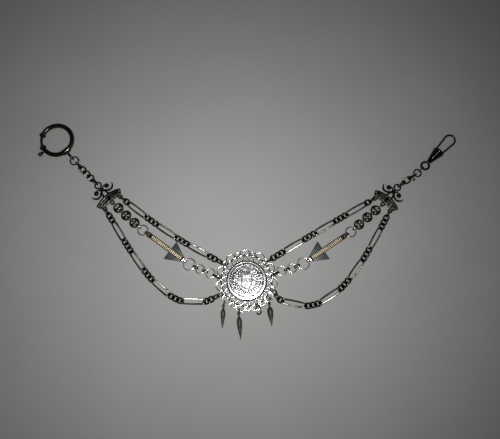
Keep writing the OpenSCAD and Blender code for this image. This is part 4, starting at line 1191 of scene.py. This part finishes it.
NOSE_CUT = 25.92
PIN_R = 0.35
PIN_HALF = 1.9
# Black nickel plate is a smooth black mirror, with short sharp highlights
black_nickel = metal("Black nickel plate, polished", "4A4A4C", "2E2D2C", 0.12, 5, scratch=0.05)
swivel, gate = joints["clip_swivel"], joints["gate_press"]
along, through = Vector(swivel["axis"]).normalized(), Vector(gate["axis"]).normalized()
lie = Matrix.Translation(Vector(swivel["pos_m"]) / MM) @ Matrix(
    (along, through.cross(along), through)).transposed().to_4x4()

bm = new_piece()
ring = [polar(CLIP_EYE_R, a) for a in even(0, 360, 36)[:-1]]
join(bm, skin(ring, CLIP_EYE_WIRE, closed=True, sides=16), lie)
join(bm, lathe(CLIP_STEM, 24), lie)
piece = finished(bm, "clip_swivel_eye", black_nickel)
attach(piece, "chain")
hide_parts("clip_eye")


def leg_line(end, start):
    """One leg of the clip: straight from the barrel, then round the bend to an angle."""
    from_mid = hypot(HOOK_MID - HOOK_ROOT.x, HOOK_ROOT.y)
    turn = atan2(HOOK_ROOT.y, HOOK_MID - HOOK_ROOT.x) - asin(HOOK_R / from_mid)
    reach = sqrt(from_mid ** 2 - HOOK_R ** 2)
    root = Vector((HOOK_ROOT.x, -HOOK_ROOT.y, 0))
    ahead = Vector((cos(turn), sin(turn), 0))
    line = [root + ahead * s for s in even(start, reach, 10)[:-1]]
    bend = even(degrees(turn) - 90, end, max(3, round((end - degrees(turn) + 90) / 6)))
    return line + [Vector((HOOK_MID, 0, 0)) + polar(HOOK_R, a) for a in bend]


bm = new_piece()
# The barrel has a slot for the gate's tongue and a bore for the eye's stem
slot_box = bmesh.new()
bmesh.ops.create_cube(slot_box, size=1, matrix=Matrix.Translation((13.3, -3.9, 0))
                      @ Matrix.Diagonal((4, 6, 1.5, 1)))
barrel = carve(lathe(BARREL, 56), slot_box)
join(bm, carve(barrel, lathe(BARREL_BORE, 24)), lie)
nose = skin([Vector((p.x, -p.y, p.z)) for p in leg_line(NOSE_END, 0.3)], CLIP_WIRE, sides=16)
cut_box = bmesh.new()
bmesh.ops.create_cube(cut_box, size=1, matrix=Matrix.Translation((NOSE_CUT - 2, -3.3, 0))
                      @ Matrix.Diagonal((4, 6, 3, 1)))
join(bm, carve(nose, cut_box), lie)
pin = [Vector((HOOK_ROOT.x, -HOOK_ROOT.y, z)) for z in (-PIN_HALF, 0, PIN_HALF)]
join(bm, skin(pin, PIN_R, sides=10), lie)
piece = finished(bm, "clip_body", black_nickel)
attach(piece, "swivel")
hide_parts("clip_barrel")

bm = new_piece()
leg = skin(leg_line(-GATE_END, 1.0), CLIP_WIRE, sides=16)
bmesh.ops.bisect_plane(leg, geom=leg.verts[:] + leg.edges[:] + leg.faces[:],
                       plane_co=(GATE_CUT, 0, 0), plane_no=(1, 0, 0), clear_outer=True)
bmesh.ops.holes_fill(leg, edges=[edge for edge in leg.edges if edge.is_boundary])
join(bm, leg, lie)
# Its flat tongue turns on the pin in the barrel's slot
tongue = plate(long_hole(0.35, 0, 2.4, 1.7, 0), -0.5, 0.5, 0.08, [long_hole(0, 0, 0.84, 0.82, 0)])
join(bm, tongue, lie @ Matrix.Translation((HOOK_ROOT.x, -HOOK_ROOT.y, 0)))
piece = finished(bm, "clip_gate_leg", black_nickel)
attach(piece, "gate")
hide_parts("clip_gate")
